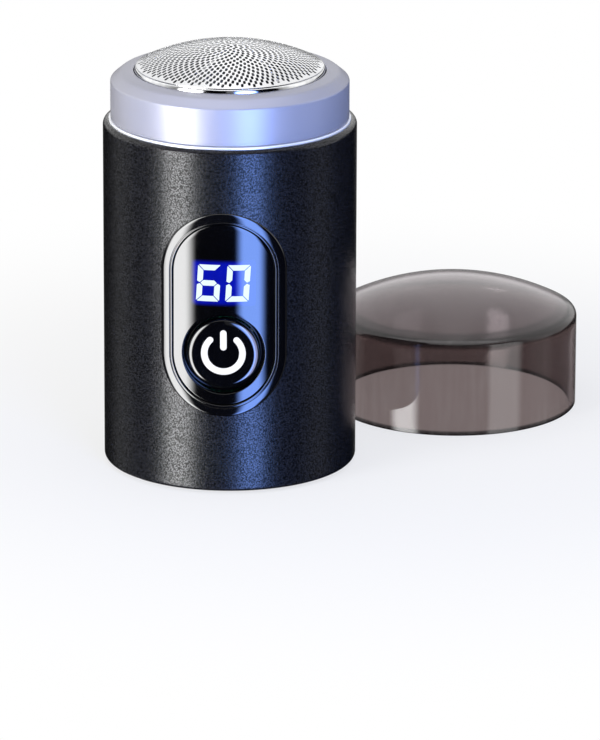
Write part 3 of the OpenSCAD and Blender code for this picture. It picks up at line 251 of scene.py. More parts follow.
def stadium(half_width, half_height, count):
    """Points and outward normals along straight sides and half circles, evenly spaced by
    length from the middle of the right side, counterclockwise."""
    straight = 2 * (half_height - half_width)
    curved = math.pi * half_width
    s = np.arange(count) / count * (2 * straight + 2 * curved)
    s = (s + straight / 2) % (2 * straight + 2 * curved)
    second = s >= straight + curved
    t = np.where(second, s - straight - curved, s)
    on_arc = t > straight
    angle = np.where(on_arc, (t - straight) / half_width, 0)
    sign = np.where(second, -1, 1)
    normal = np.stack([np.cos(angle), np.sin(angle)], 1) * sign[:, None]
    middle = np.where(on_arc, straight / 2, t - straight / 2) * sign
    points = normal * half_width + np.stack([np.zeros(count), middle], 1)
    return points, normal


def circle(radius, count):
    """Evenly spaced points of a circle about the origin, counterclockwise."""
    angle = TURN * np.arange(count) / count
    return radius * np.stack([np.cos(angle), np.sin(angle)], 1)


def sphere_through(radius, rise):
    """Radius of the sphere whose cap has the given radius and rise: the sum of their squares
    over twice the rise."""
    return (radius ** 2 + rise ** 2) / (2 * rise)


def on_body(flat, radius, z):
    """Wraps flat points (x, height) onto an upright cylinder at its front: x stays, the height
    is added to z and y is minus the root of the radius squared less x squared."""
    radius = np.broadcast_to(radius, flat.shape[:-1])
    y = -np.sqrt(radius ** 2 - flat[..., 0] ** 2)
    return np.stack([flat[..., 0], y, flat[..., 1] + z], -1)


# ---------------------------------------------------------------- meshes

def add_piece(name, mesh, body, slot, replaced, sharp):
    """Puts a mesh in the scene as a finished piece: doubles merged, faces turned outwards,
    smooth but for open edges and those sharper than the given angle, riding on its body and
    shown in place of the CAD nodes that it replaces."""
    shell = bmesh.new()
    shell.from_mesh(mesh)
    bmesh.ops.remove_doubles(shell, verts=shell.verts, dist=1e-7)
    bmesh.ops.recalc_face_normals(shell, faces=shell.faces)
    for edge in shell.edges:
        edge.smooth = len(edge.link_faces) == 2 and edge.calc_face_angle(0) < math.radians(sharp)
    for face in shell.faces:
        face.smooth = True
    shell.to_mesh(mesh)
    shell.free()
    piece = bpy.data.objects.new(name, mesh)
    bpy.context.scene.collection.objects.link(piece)
    mesh.materials.append(finish(slot))
    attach(piece, body)
    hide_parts(*replaced)
    return piece


def grid_faces(rows, columns, close_rows, close_columns, first=0):
    """Quads of a grid of vertices numbered row by row."""
    r = np.arange(rows if close_rows else rows - 1)
    c = np.arange(columns if close_columns else columns - 1)
    r, c = np.meshgrid(r, c, indexing="ij")
    r2, c2 = (r + 1) % rows, (c + 1) % columns
    quads = [r * columns + c, r * columns + c2, r2 * columns + c2, r2 * columns + c]
    return np.stack(quads, -1).reshape(-1, 4) + first


def grid_mesh(name, points, close_rows=True, close_columns=True):
    """Mesh of one grid of points, closed round either way."""
    mesh = bpy.data.meshes.new(name)
    faces = grid_faces(points.shape[0], points.shape[1], close_rows, close_columns)
    mesh.from_pydata(points.reshape(-1, 3).tolist(), [], faces.tolist())
    return mesh


def joined_mesh(name, grids):
    """One mesh of several grids, each closed both ways."""
    mesh = bpy.data.meshes.new(name)
    points, faces, first = [], [], 0
    for grid in grids:
        faces.append(grid_faces(grid.shape[0], grid.shape[1], True, True, first))
        points.append(grid.reshape(-1, 3))
        first += len(points[-1])
    mesh.from_pydata(np.concatenate(points).tolist(), [], np.concatenate(faces).tolist())
    return mesh


def revolved(outline, count, centre=(0, 0)):
    """Grid of an outline (radius, z) turned about an upright axis: x is the radius times the
    cosine of the turn and y is the radius times its sine."""
    angle = TURN * np.arange(count)[:, None] / count
    radius, z = outline[:, 0], outline[:, 1]
    return np.stack([
        centre[0] + radius * np.cos(angle),
        centre[1] + radius * np.sin(angle),
        np.broadcast_to(z, (count, len(z))),
    ], -1)


def turned_out(outline, z, count):
    """Grid of an outline (radius, distance from the body's axis) turned about the line that
    points out of the front at height z."""
    angle = TURN * np.arange(count)[:, None] / count
    radius, out = outline[:, 0], outline[:, 1]
    return np.stack([
        radius * np.cos(angle),
        np.broadcast_to(-out, (count, len(out))),
        z + radius * np.sin(angle),
    ], -1)


def inlay(outline, top, low, z, rows=4):
    """Grid of a convex flat outline wrapped onto the body: rows from the outline's middle out
    to its edge on the upper radius, down the side and back along the lower radius."""
    middle = outline.mean(0)
    out = np.linspace(0, 1, rows)
    share = np.concatenate([out, out[::-1]])
    radius = np.concatenate([np.full(rows, top), np.full(rows, low)])
    flat = middle + share[None, :, None] * (outline[:, None] - middle)
    return on_body(flat, radius[None, :], z)


def stroke(path, half_width, top, low):
    """Grid of a flat stroke with round ends: the loop runs up one side of the path, round its
    end and back, and each point of the loop is the path plus its share of the half width. The
    first columns run over the top, which drops a little at the edge, and the rest lie low."""
    step = np.gradient(path, axis=0)
    along = step / np.linalg.norm(step, axis=1)[:, None]
    side = np.stack([-along[:, 1], along[:, 0]], 1)
    turn = np.linspace(0, math.pi, 12)[1:-1, None]
    far = np.cos(turn) * -side[-1] + np.sin(turn) * along[-1]
    near = np.cos(turn) * side[0] - np.sin(turn) * along[0]
    core = np.concatenate([path, np.repeat(path[-1:], len(far), 0),
                           path[::-1], np.repeat(path[:1], len(near), 0)])
    away = np.concatenate([-side, far, side[::-1], near])
    over, under = [0, 0.5, 0.86, 0.96, 1.0], [1.0, 0.5, 0]
    share, drop = np.array(over + under), np.array([0, 0, 0, 0.25, 1.0]) * 0.06 * MM
    flat = core[:, None] + half_width * share[None, :, None] * away[:, None]
    height = np.full(flat.shape[:2], low)
    radius = np.hypot(flat[..., 0], flat[..., 1])[:, :len(over)]
    height[:, :len(over)] = top(radius) - drop[None, :]
    return flat, height


# ---------------------------------------------------------------- shader groups

def socket(tree, name, kind, value=None, output=False):
    """Adds a named socket to a node group."""
    made = tree.interface.new_socket(name, in_out="OUTPUT" if output else "INPUT",
                                     socket_type="NodeSocket" + kind)
    if value is not None:
        made.default_value = value


def add(tree, kind, links=(), **values):
    """Adds a node, sets its properties and inputs by name, and links inputs to sockets."""
    node = tree.nodes.new(kind)
    for name, value in values.items():
        if hasattr(node, name):
            setattr(node, name, value)
        else:
            node.inputs[name.replace("_", " ")].default_value = value
    for target, source in dict(links).items():
        tree.links.new(source, node.inputs[target])
    return node


def maths(tree, operation, one, two=None, clamp=False):
    """One Math node; numbers are set and sockets are linked."""
    node = tree.nodes.new("ShaderNodeMath")
    node.operation = operation
    node.use_clamp = clamp
    for i, value in enumerate((one, two)):
        if value is None:
            continue
        if isinstance(value, (int, float)):
            node.inputs[i].default_value = value
        else:
            tree.links.new(value, node.inputs[i])
    return node.outputs[0]


def new_group(name, inputs, outputs):
    """Empty node group with its sockets, its input node and its output node."""
    tree = bpy.data.node_groups.new(name, "ShaderNodeTree")
    for label, kind, value in inputs:
        socket(tree, label, kind, value)
    for label, kind in outputs:
        socket(tree, label, kind, output=True)
    start = tree.nodes.new("NodeGroupInput")
    end = tree.nodes.new("NodeGroupOutput")
    return tree, start, end


def grain_group():
    """Pebbled grain: rounded cells broken up by noise, and a slow shade over the surface."""
    tree, start, end = new_group(
        "Fine grain", [("Vector", "Vector", None), ("Scale", "Float", 2500.0)],
        [("Height", "Float"), ("Crest", "Float"), ("Shade", "Float")])
    place, scale = start.outputs["Vector"], start.outputs["Scale"]
    cells = add(tree, "ShaderNodeTexVoronoi", {"Vector": place, "Scale": scale},
                feature="SMOOTH_F1", Smoothness=0.35)
    fine = add(tree, "ShaderNodeTexNoise", {"Vector": place, "Scale": scale}, Detail=2.0)
    shade = add(tree, "ShaderNodeTexNoise",
                {"Vector": place, "Scale": maths(tree, "MULTIPLY", scale, 0.04)}, Detail=3.0)
    half = maths(tree, "MULTIPLY", cells.outputs["Distance"], 0.8)
    height = maths(tree, "SUBTRACT", fine.outputs["Fac"], half)
    tree.links.new(height, end.inputs["Height"])
    tree.links.new(ramp(tree, height, -0.12, 0.36), end.inputs["Crest"])
    tree.links.new(shade.outputs["Fac"], end.inputs["Shade"])
    return tree


def turning_group():
    """Turned metal: fine lines round the upright axis, as noise over the radius and the
    height that hardly changes with the angle."""
    tree, start, end = new_group(
        "Turning lines", [("Vector", "Vector", None), ("Fineness", "Float", 9000.0)],
        [("Height", "Float"), ("Shade", "Float")])
    parts = add(tree, "ShaderNodeSeparateXYZ", {"Vector": start.outputs["Vector"]}).outputs
    radius = maths(tree, "SQRT", maths(tree, "ADD", maths(tree, "MULTIPLY", parts["X"], parts["X"]),
                                       maths(tree, "MULTIPLY", parts["Y"], parts["Y"])))
    angle = maths(tree, "ARCTAN2", parts["Y"], parts["X"])
    fineness = start.outputs["Fineness"]
    lines = add(tree, "ShaderNodeCombineXYZ", {
        "X": maths(tree, "MULTIPLY", radius, fineness),
        "Y": maths(tree, "MULTIPLY", parts["Z"], fineness),
        "Z": maths(tree, "MULTIPLY", angle, 1.5)})
    fine = add(tree, "ShaderNodeTexNoise", {"Vector": lines.outputs[0]}, Scale=1.0, Detail=3.0)
    shade = add(tree, "ShaderNodeTexNoise", {"Vector": start.outputs["Vector"]},
                Scale=140.0, Detail=2.0)
    tree.links.new(fine.outputs["Fac"], end.inputs["Height"])
    tree.links.new(shade.outputs["Fac"], end.inputs["Shade"])
    return tree


def handling_group():
    """Traces of handling on gloss: soft broad patches with faint wiped streaks."""
    tree, start, end = new_group(
        "Handling", [("Vector", "Vector", None), ("Scale", "Float", 160.0)],
        [("Mask", "Float")])
    patches = add(tree, "ShaderNodeTexNoise",
                  {"Vector": start.outputs["Vector"], "Scale": start.outputs["Scale"]}, Detail=3.0)
    slim = add(tree, "ShaderNodeMapping", {"Vector": start.outputs["Vector"]},
               Scale=(900.0, 900.0, 90.0))
    streaks = add(tree, "ShaderNodeTexNoise", {"Vector": slim.outputs[0]}, Scale=1.0, Detail=2.0)
    mask = maths(tree, "MULTIPLY", patches.outputs["Fac"], streaks.outputs["Fac"])
    tree.links.new(maths(tree, "MULTIPLY", mask, 2.0), end.inputs["Mask"])
    return tree


GROUPS = {}


def shared(name, maker):
    """A shared node group, built once."""
    if name not in GROUPS:
        GROUPS[name] = maker()
    return GROUPS[name]


# ---------------------------------------------------------------- finishes

def start_finish(name):
    """New material with its Principled BSDF, its output and object coordinates."""
    material = bpy.data.materials.new(name)
    material.use_nodes = True
    tree = material.node_tree
    tree.nodes.clear()
    output = tree.nodes.new("ShaderNodeOutputMaterial")
    surface = tree.nodes.new("ShaderNodeBsdfPrincipled")
    tree.links.new(surface.outputs[0], output.inputs["Surface"])
    place = tree.nodes.new("ShaderNodeTexCoord").outputs["Object"]
    return material, tree, surface, place


def use_group(tree, group, links, **values):
    """Places a shared node group with its own values."""
    node = tree.nodes.new("ShaderNodeGroup")
    node.node_tree = group
    for name, value in values.items():
        node.inputs[name].default_value = value
    for name, source in links.items():
        tree.links.new(source, node.inputs[name])
    return node.outputs


def blend_colours(tree, factor, one, two):
    """Mix of two linear colours by a factor socket."""
    node = tree.nodes.new("ShaderNodeMix")
    node.data_type = "RGBA"
    tree.links.new(factor, node.inputs["Factor"])
    for name, value in (("A", one), ("B", two)):
        target = [s for s in node.inputs if s.name == name and s.type == "RGBA"][0]
        if hasattr(value, "__len__"):
            target.default_value = (*value[:3], 1.0)
        else:
            tree.links.new(value, target)
    return [s for s in node.outputs if s.type == "RGBA"][0]


def spread(tree, source, low, high):
    """Maps a value from 0..1 to a range."""
    node = add(tree, "ShaderNodeMapRange", {"Value": source}, To_Min=low, To_Max=high)
    return node.outputs["Result"]


def ramp(tree, source, start, end, low=0.0, high=1.0):
    """Smooth step from low to high while a value goes from start to end."""
    node = add(tree, "ShaderNodeMapRange", {"Value": source}, interpolation_type="SMOOTHSTEP")
    for name, value in (("From Min", start), ("From Max", end), ("To Min", low), ("To Max", high)):
        node.inputs[name].default_value = value
    return node.outputs["Result"]


def shades(rgb, change):
    """A darker and a lighter version of a colour."""
    return [tuple(min(1.0, c * (1 + s * change)) for c in rgb[:3]) for s in (-1, 1)]


def paint(tree, surface, mask, rgb, change):
    """Base colour between a darker and a lighter version of a colour."""
    tree.links.new(blend_colours(tree, mask, *shades(rgb, change)), surface.inputs["Base Color"])


def roughen(tree, surface, mask, low, high):
    """Roughness between two levels."""
    tree.links.new(spread(tree, mask, low, high), surface.inputs["Roughness"])


def add_bump(tree, surface, height, depth):
    """Bump of a given depth in millimetres."""
    bump = add(tree, "ShaderNodeBump", {"Height": height}, Strength=1.0, Distance=depth * MM)
    tree.links.new(bump.outputs["Normal"], surface.inputs["Normal"])


def set_inputs(surface, **values):
    """Sets a shader's own sockets, which are the same all over the surface."""
    for name, value in values.items():
        surface.inputs[name.replace("_", " ")].default_value = value


def moulded(name, rgb, rough=0.5, scale=2600.0, depth=0.02, change=0.18):
    """Moulded plastic or rubber with a fine eroded grain of a depth in millimetres."""
    material, tree, surface, place = start_finish(name)
    grain = use_group(tree, shared("grain", grain_group), {"Vector": place}, Scale=scale)
    paint(tree, surface, grain["Shade"], rgb, change)
    roughen(tree, surface, grain["Shade"], rough - 0.08, rough + 0.08)
    add_bump(tree, surface, grain["Height"], depth)
    return material


def turned(name, rgb, rough=0.3, fineness=9000.0, depth=0.004, change=0.08, metallic=1.0):
    """Metal with fine turning lines of a depth in millimetres."""
    material, tree, surface, place = start_finish(name)
    lines = use_group(tree, shared("turning", turning_group), {"Vector": place}, Fineness=fineness)
    paint(tree, surface, lines["Shade"], rgb, change)
    roughen(tree, surface, lines["Height"], rough - 0.06, rough + 0.06)
    set_inputs(surface, Metallic=metallic)
    add_bump(tree, surface, lines["Height"], depth)
    return material


def glossy(name, rgb, rough):
    """Deep gloss plastic with faint traces of handling."""
    material, tree, surface, place = start_finish(name)
    traces = use_group(tree, shared("handling", handling_group), {"Vector": place}, Scale=160.0)
    paint(tree, surface, traces["Mask"], rgb, change=0.25)
    roughen(tree, surface, traces["Mask"], rough, rough + 0.05)
    set_inputs(surface, Specular_IOR_Level=1.0)
    return material, tree, surface, place


def sleeve_coat(name):
    """Black powder coat: fine pebbles whose crests carry a clear coat, so that they shine more
    than the pits between them."""
    material, tree, surface, place = start_finish(name)
    grain = use_group(tree, shared("grain", grain_group), {"Vector": place}, Scale=3700.0)
    # The base colour follows the crests, darker in the pits and lighter on the crests: a painted
    # shade of the grain over the coat's own colour.
    paint(tree, surface, grain["Crest"], colours().coat, change=0.8)
    roughen(tree, surface, grain["Shade"], 0.2, 0.27)
    tree.links.new(spread(tree, grain["Crest"], 0.0, 0.8), surface.inputs["Coat Weight"])
    set_inputs(surface, Coat_Roughness=0.24, Specular_IOR_Level=0.2)
    add_bump(tree, surface, grain["Height"], 0.034)
    return material


def ring_anodised(name):
    """Satin anodised ring: lavender dye over fine turning lines."""
    return turned(name, colours().ring, rough=0.39, fineness=14000.0, depth=0.0012,
                  change=0.03, metallic=0.45)


def rim_chrome(name):
    """Bright polish with faint traces of handling."""
    material, _, surface, _ = glossy(name, colours().chrome, rough=0.05)
    set_inputs(surface, Metallic=1.0, Specular_IOR_Level=0.5)
    return material


PANEL_BLACK = 0.0008, 0.0008, 0.001


def panel_gloss(name):
    """Deep gloss panel with the display's blue haze behind it: a soft-edged box round the
    digits, brightest in its middle."""
    material, tree, surface, place = glossy(name, PANEL_BLACK, rough=0.045)
    parts = add(tree, "ShaderNodeSeparateXYZ", {"Vector": place}).outputs
    middle = (DIGITS_LOW + DIGITS_HIGH) / 2
    half = (DIGITS_HIGH - DIGITS_LOW) / 2
    margin, fade_out, fade_in = 0.35 * MM, 0.75 * MM, 0.3 * MM
    mask = None
    for axis, index in (("X", 0), ("Z", 2)):
        off = maths(tree, "ABSOLUTE", maths(tree, "SUBTRACT", parts[axis], float(middle[index])))
        limit = float(half[index]) + margin
        edge = ramp(tree, off, limit + fade_out, limit - fade_in)
        mask = edge if mask is None else maths(tree, "MULTIPLY", mask, edge)
    cloud = add(tree, "ShaderNodeTexNoise", {"Vector": place}, Scale=420.0, Detail=1.0)
    uneven = spread(tree, cloud.outputs["Fac"], 0.75, 1.15)
    glow = blend_colours(tree, maths(tree, "MULTIPLY", mask, uneven, clamp=True),
                         (0.0, 0.0, 0.0), tuple(colours().glow))
    tree.links.new(glow, surface.inputs["Emission Color"])
    set_inputs(surface, Emission_Strength=1.0)
    return material


def lit(name, rgb):
    """Lit resin: even light with a faint mottle from the diffuser."""
    material, tree, surface, place = start_finish(name)
    mottle = add(tree, "ShaderNodeTexNoise", {"Vector": place}, Scale=700.0, Detail=1.0)
    dark = tuple(c * 0.9 for c in rgb)
    light = blend_colours(tree, spread(tree, mottle.outputs["Fac"], 0.2, 1.0), dark, tuple(rgb))
    tree.links.new(light, surface.inputs["Emission Color"])
    set_inputs(surface, Base_Color=(0.05, 0.05, 0.06, 1), Emission_Strength=1.0, Roughness=0.3,
               Specular_IOR_Level=0.2)
    return material


def foil_steel(name):
    """Bright electroformed foil: satin lands with a slow change of shade."""
    material, tree, surface, place = start_finish(name)
    grain = use_group(tree, shared("grain", grain_group), {"Vector": place}, Scale=5200.0)
    paint(tree, surface, grain["Shade"], colours().foil, change=0.06)
    roughen(tree, surface, grain["Shade"], 0.16, 0.26)
    set_inputs(surface, Metallic=1.0)
    add_bump(tree, surface, grain["Height"], 0.002)
    return material


def cap_smoke(name):
    """Clear smoked plastic with faint moulding flow. Its top is painted lighter and greyer than
    its browner wall, a painted light from above, and the shoulder and the foot are painted
    darkest: painted shade of their dark edges, partly standing for the thicker shoulder."""
    material, tree, surface, place = start_finish(name)
    flow = use_group(tree, shared("handling", handling_group), {"Vector": place}, Scale=70.0)
    smoke = np.array(colours().smoke)
    height = add(tree, "ShaderNodeSeparateXYZ", {"Vector": place}).outputs["Z"]
    shoulder = float(CAP_TOP) - sizes().cap_rise
    band = 0.5 * MM
    # The top is painted lighter and greyer than the browner wall: painted light from above, over the
    # smoke's own colour.
    wall_tint, painted_top_light_tint, thick_edge_shade_tint = (0.86, 0.82, 0.78), (1.25, 1.28, 1.3), 0.12
    top = ramp(tree, height, shoulder, shoulder + band)
    tint = blend_colours(tree, top, smoke * wall_tint, smoke * painted_top_light_tint)
    # The shoulder and the foot are painted darkest: painted shade of their dark edges, partly
    # standing for the thicker plastic at the shoulder.
    off = maths(tree, "ABSOLUTE", maths(tree, "SUBTRACT", height, shoulder))
    thick_edge_shade = maths(tree, "MAXIMUM", ramp(tree, off, sizes().cap_wall, band),
                  ramp(tree, height, 2 * band, band))
    tint = blend_colours(tree, thick_edge_shade, tint, smoke * thick_edge_shade_tint)
    haze = ramp(tree, flow["Mask"], 0.3, 1.0, 0.0, 0.12)
    tint = blend_colours(tree, haze, tint, (0.5, 0.5, 0.5))
    tree.links.new(tint, surface.inputs["Base Color"])
    roughen(tree, surface, flow["Mask"], 0.02, 0.06)
    set_inputs(surface, Transmission_Weight=1.0, IOR=1.49)
    return material


def board_green(name):
    """Solder mask: green with copper tracks that show through as paler lines."""
    material, tree, surface, place = start_finish(name)
    tracks = add(tree, "ShaderNodeTexBrick", {"Vector": place}, Scale=380.0, Mortar_Size=0.05,
                 Brick_Width=0.9, Row_Height=0.35)
    noise = add(tree, "ShaderNodeTexNoise", {"Vector": place}, Scale=500.0)
    mask = maths(tree, "MULTIPLY", tracks.outputs["Fac"], noise.outputs["Fac"])
    tree.links.new(blend_colours(tree, mask, (0.012, 0.09, 0.035), (0.05, 0.24, 0.1)),
                   surface.inputs["Base Color"])
    roughen(tree, surface, noise.outputs["Fac"], 0.22, 0.36)
    add_bump(tree, surface, mask, 0.03)
    return material


def winding_copper(name):
    """Enamelled wire laid in turns: ridges across the winding."""
    material, tree, surface, place = start_finish(name)
    wave = add(tree, "ShaderNodeTexWave", {"Vector": place}, Scale=1500.0, Distortion=1.2,
               bands_direction="Z")
    tree.links.new(blend_colours(tree, wave.outputs["Fac"], (0.2, 0.06, 0.02), (0.62, 0.24, 0.08)),
                   surface.inputs["Base Color"])
    roughen(tree, surface, wave.outputs["Fac"], 0.4, 0.25)
    set_inputs(surface, Metallic=0.8)
    add_bump(tree, surface, wave.outputs["Fac"], 0.05)
    return material


# Colour, roughness, grain scale, grain depth in millimetres and change of shade
MOULDED = {
    "black_plastic": ((0.016, 0.016, 0.018), 0.48),
    "pad_rubber": ((0.018, 0.018, 0.019), 0.75, 1800.0, 0.04),
    "seal_rubber": ((0.03, 0.03, 0.032), 0.6, 3000.0, 0.01),
    "lip_seal": ((0.3, 0.03, 0.025), 0.5, 3000.0, 0.01),
    "chassis_plastic": ((0.68, 0.68, 0.65), 0.5, 1500.0, 0.02, 0.05),
    "endbell_plastic": ((0.75, 0.71, 0.6), 0.42, 1700.0, 0.015, 0.06),
    "coupler_plastic": ((0.82, 0.82, 0.78), 0.38, 2200.0, 0.008, 0.05),
    "display_body": ((0.74, 0.74, 0.7), 0.5, 2600.0, 0.012, 0.06),
    "chip_epoxy": ((0.02, 0.02, 0.022), 0.6, 5200.0, 0.02),
    "ceramic_parts": ((0.36, 0.25, 0.12), 0.45, 900.0, 0.03, 0.5),
    "lamp_resin": ((0.88, 0.84, 0.5), 0.2, 1200.0, 0.01, 0.08),
    "ferrite": ((0.05, 0.05, 0.056), 0.55, 3600.0, 0.03, 0.3),
    "cell_wrap": ((0.03, 0.16, 0.42), 0.28, 700.0, 0.03, 0.1),
    "wire_red": ((0.42, 0.018, 0.015), 0.4, 1600.0, 0.01, 0.12),
    "wire_yellow": ((0.6, 0.4, 0.02), 0.4, 1600.0, 0.01, 0.12),
    "wire_dark": ((0.03, 0.03, 0.034), 0.4, 1600.0, 0.01, 0.2),
}
# Colour, roughness, fineness of the lines, their depth in millimetres, change of shade, metallic
TURNED = {
    "bright_ring": ((0.93, 0.94, 0.96), 0.3, 12000.0, 0.001, 0.03, 0.35),
    "screw_steel": ((0.56, 0.57, 0.59), 0.28),
    "magnet_nickel": ((0.6, 0.59, 0.56), 0.22),
    "switch_steel": ((0.55, 0.56, 0.57), 0.3),
    "socket_steel": ((0.62, 0.63, 0.65), 0.24),
    "nickel_strip": ((0.62, 0.61, 0.58), 0.3),
    "motor_steel": ((0.5, 0.51, 0.53), 0.34),
    "bush_bronze": ((0.5, 0.33, 0.14), 0.4),
    "copper_strip": ((0.6, 0.3, 0.15), 0.3),
    "shaft_steel": ((0.64, 0.65, 0.67), 0.18),
    "lamination": ((0.27, 0.27, 0.28), 0.45, 2500.0, 0.03),
    "spring_steel": ((0.6, 0.61, 0.63), 0.22),
    "cutter_steel": ((0.62, 0.63, 0.65), 0.24),
    "keeper_steel": ((0.52, 0.52, 0.54), 0.3),
}
MAKERS = {
    **{slot: lambda name: moulded(name, *MOULDED[name]) for slot in MOULDED},
    **{slot: lambda name: turned(name, *TURNED[name]) for slot in TURNED},
    "sleeve_coat": sleeve_coat,
    "ring_anodised": ring_anodised,
    "rim_chrome": rim_chrome,
    "foil_steel": foil_steel,
    "gloss_black": lambda name: glossy(name, (0.0012, 0.0012, 0.0015), 0.06)[0],
    "button_gloss": lambda name: glossy(name, PANEL_BLACK, 0.045)[0],
    "panel_gloss": panel_gloss,
    "digit_glow": lambda name: lit(name, colours().digits),
    "icon_glow": lambda name: lit(name, colours().mark),
    "cap_smoke": cap_smoke,
    "board_green": board_green,
    "winding_copper": winding_copper,
}
MADE = {}


def finish(slot):
    """The material of a slot, made once."""
    if slot not in MADE:
        MADE[slot] = MAKERS[slot](slot)
    return MADE[slot]


def dress(*nodes):
    """Gives CAD nodes that stay as they are the finish of their slots."""
    slots = {part["node"]: part["material_slot"] for part in frame["record"]["subparts"]}
    for node in nodes:
        materials = frame["nodes"][node].data.materials
        materials.clear()
        materials.append(finish(slots[node]))


# ---------------------------------------------------------------- pieces

WINDOW_POINTS = 320
RING_POINTS = 256
CAP_POINTS = 192
FOIL_POINTS = 192
BUTTON_POINTS = 160


class PieceOperator:
    """Common ground of the operators that make one piece or a group of like pieces."""
    bl_options = {"REGISTER", "UNDO"}

    def execute(self, context):
        self.build(context.scene.shaver_sizes)
        return {"FINISHED"}


class SHAVER_OT_body(PieceOperator, bpy.types.Operator):
    """Dresses the sleeve, the base and the charging port"""
    bl_idname = "shaver.body"
    bl_label = "Body"

    def build(self, size):
        dress("sleeve", "base_cover", "base_pad", "base_seal", "base_screws",
              "port_trim", "usb_socket", "usb_tongue", "usb_board")


class SHAVER_OT_bezel(PieceOperator, bpy.types.Operator):
    """Makes the gloss frame round the window"""
    bl_idname = "shaver.bezel"
    bl_label = "Window bezel"

    def build(self, size):
        """A cross-section of offsets from the window's outline and radii from the body's axis,
        carried along a stadium that is wrapped onto the body."""
        width, top, low = size.bezel_width, BEZEL_R, BEZEL_R - 1.0 * MM
        groove_width, groove_floor = 0.2 * MM, top - 0.16 * MM
        inner = -width + size.panel_gap
        bead = inner + size.bead_width
        groove = bead + groove_width
        section = rounded(*zip(
            ((0.0, low), 0), ((0.0, top - 0.02 * MM), size.bezel_edge), ((-0.5 * MM, top), 0.4 * MM),
            ((groove, top), 0.06 * MM), ((groove, groove_floor), 0.03 * MM),
            ((bead, groove_floor), 0.03 * MM), ((bead, top), 0.12 * MM), ((inner, top), 0.12 * MM),
            ((inner, low), 0)))
        path, out = stadium(PANEL_HW + width, PANEL_HH + width, WINDOW_POINTS)
        flat = path[:, None] + section[None, :, :1] * out[:, None]
        points = on_body(flat, section[None, :, 1], WINDOW_Z)
        add_piece("window_bezel_frame", grid_mesh("window_bezel_frame", points), "root",
                  "gloss_black", ["window_bezel"], sharp=50)


class SHAVER_OT_panel(PieceOperator, bpy.types.Operator):
    """Makes the gloss panel with its round hole"""
    bl_idname = "shaver.panel"
    bl_label = "Window panel"

    def build(self, size):
        """Rings of points from the hole's circle to the window's outline, each ring a mix of
        the two, wrapped onto the body and closed below."""
        edge, low = size.panel_edge, PANEL_R - 1.2 * MM
        face_rings, back_rings = 26, 12
        rim, out = stadium(PANEL_HW - size.panel_gap, PANEL_HH - size.panel_gap, WINDOW_POINTS)
        centre = np.array([0, BUTTON_Z - WINDOW_Z])
        ray = rim - centre
        ray /= np.linalg.norm(ray, axis=1)[:, None]
        bend = np.linspace(0, math.pi / 2, 5)
        rings = [(centre + ray * size.hole_radius, low)]
        for a in bend:
            rings.append((centre + ray * (size.hole_radius + edge * (1 - math.cos(a))),
                          PANEL_R - edge * (1 - math.sin(a))))
        inner_edge = rings[-1][0]
        outer_edge = rim - out * edge
        for t in np.linspace(0, 1, face_rings)[1:]:
            rings.append((inner_edge + (outer_edge - inner_edge) * t, PANEL_R))
        for a in bend[::-1][1:]:
            rings.append((rim - out * edge * (1 - math.cos(a)), PANEL_R - edge * (1 - math.sin(a))))
        rings.append((rim, low))
        for t in np.linspace(0, 1, back_rings)[1:-1]:
            rings.append((rim + (rings[0][0] - rim) * t, low))
        points = np.stack([on_body(flat, radius, WINDOW_Z) for flat, radius in rings], 1)
        add_piece("window_panel_sheet", grid_mesh("window_panel_sheet", points), "root",
                  "panel_gloss", ["window_panel"], sharp=50)


class SHAVER_OT_digits(PieceOperator, bpy.types.Operator):
    """Makes the lit segments of the charge display"""
    bl_idname = "shaver.digits"
    bl_label = "Digits"

    def build(self, size):
        """Each digit's bars are flat outlines with mitred ends for its upper left part, flipped
        into place, leaned and wrapped onto the body just proud of the panel."""
        a, b, t = size.digit_width / 2, size.digit_height / 2, size.segment_width
        gap, soft, proud, deep = 0.11 * MM, 0.07 * MM, 0.02 * MM, 0.5 * MM
        top = [(-a + gap, b), (a - gap, b), (a - t - gap, b - t), (-a + t + gap, b - t)]
        side = [(-a, b - gap), (-a + t, b - t - gap), (-a + t, t / 2 + gap), (-a + t / 2, gap),
                (-a, t / 4 + gap)]
        middle = [(-a + t / 2 + gap, 0), (-a + t + gap, t / 2), (a - t - gap, t / 2),
                  (a - t / 2 - gap, 0), (a - t - gap, -t / 2), (-a + t + gap, -t / 2)]
        both = (1, -1)
        six = [(top, 1, 1), (top, 1, -1), (middle, 1, 1), (side, 1, 1), (side, 1, -1), (side, -1, -1)]
        nought = [(top, 1, s) for s in both] + [(side, s, u) for s in both for u in both]
        centre_z = float(DIGITS_LOW[2] + DIGITS_HIGH[2]) / 2
        grids = []
        for shift, bars in ((-size.digit_pitch / 2, six), (size.digit_pitch / 2, nought)):
            for bar, flip_x, flip_y in bars:
                flat = finely(rounded(np.array(bar) * (flip_x, flip_y), soft, 4))
                flat = np.stack([flat[:, 0] + flat[:, 1] * size.digit_lean + shift, flat[:, 1]], 1)
                grids.append(inlay(flat, PANEL_R + proud, PANEL_R - deep, centre_z))
        add_piece("digit_segments", joined_mesh("digit_segments", grids), "root",
                  "digit_glow", ["digit_lights"], sharp=40)


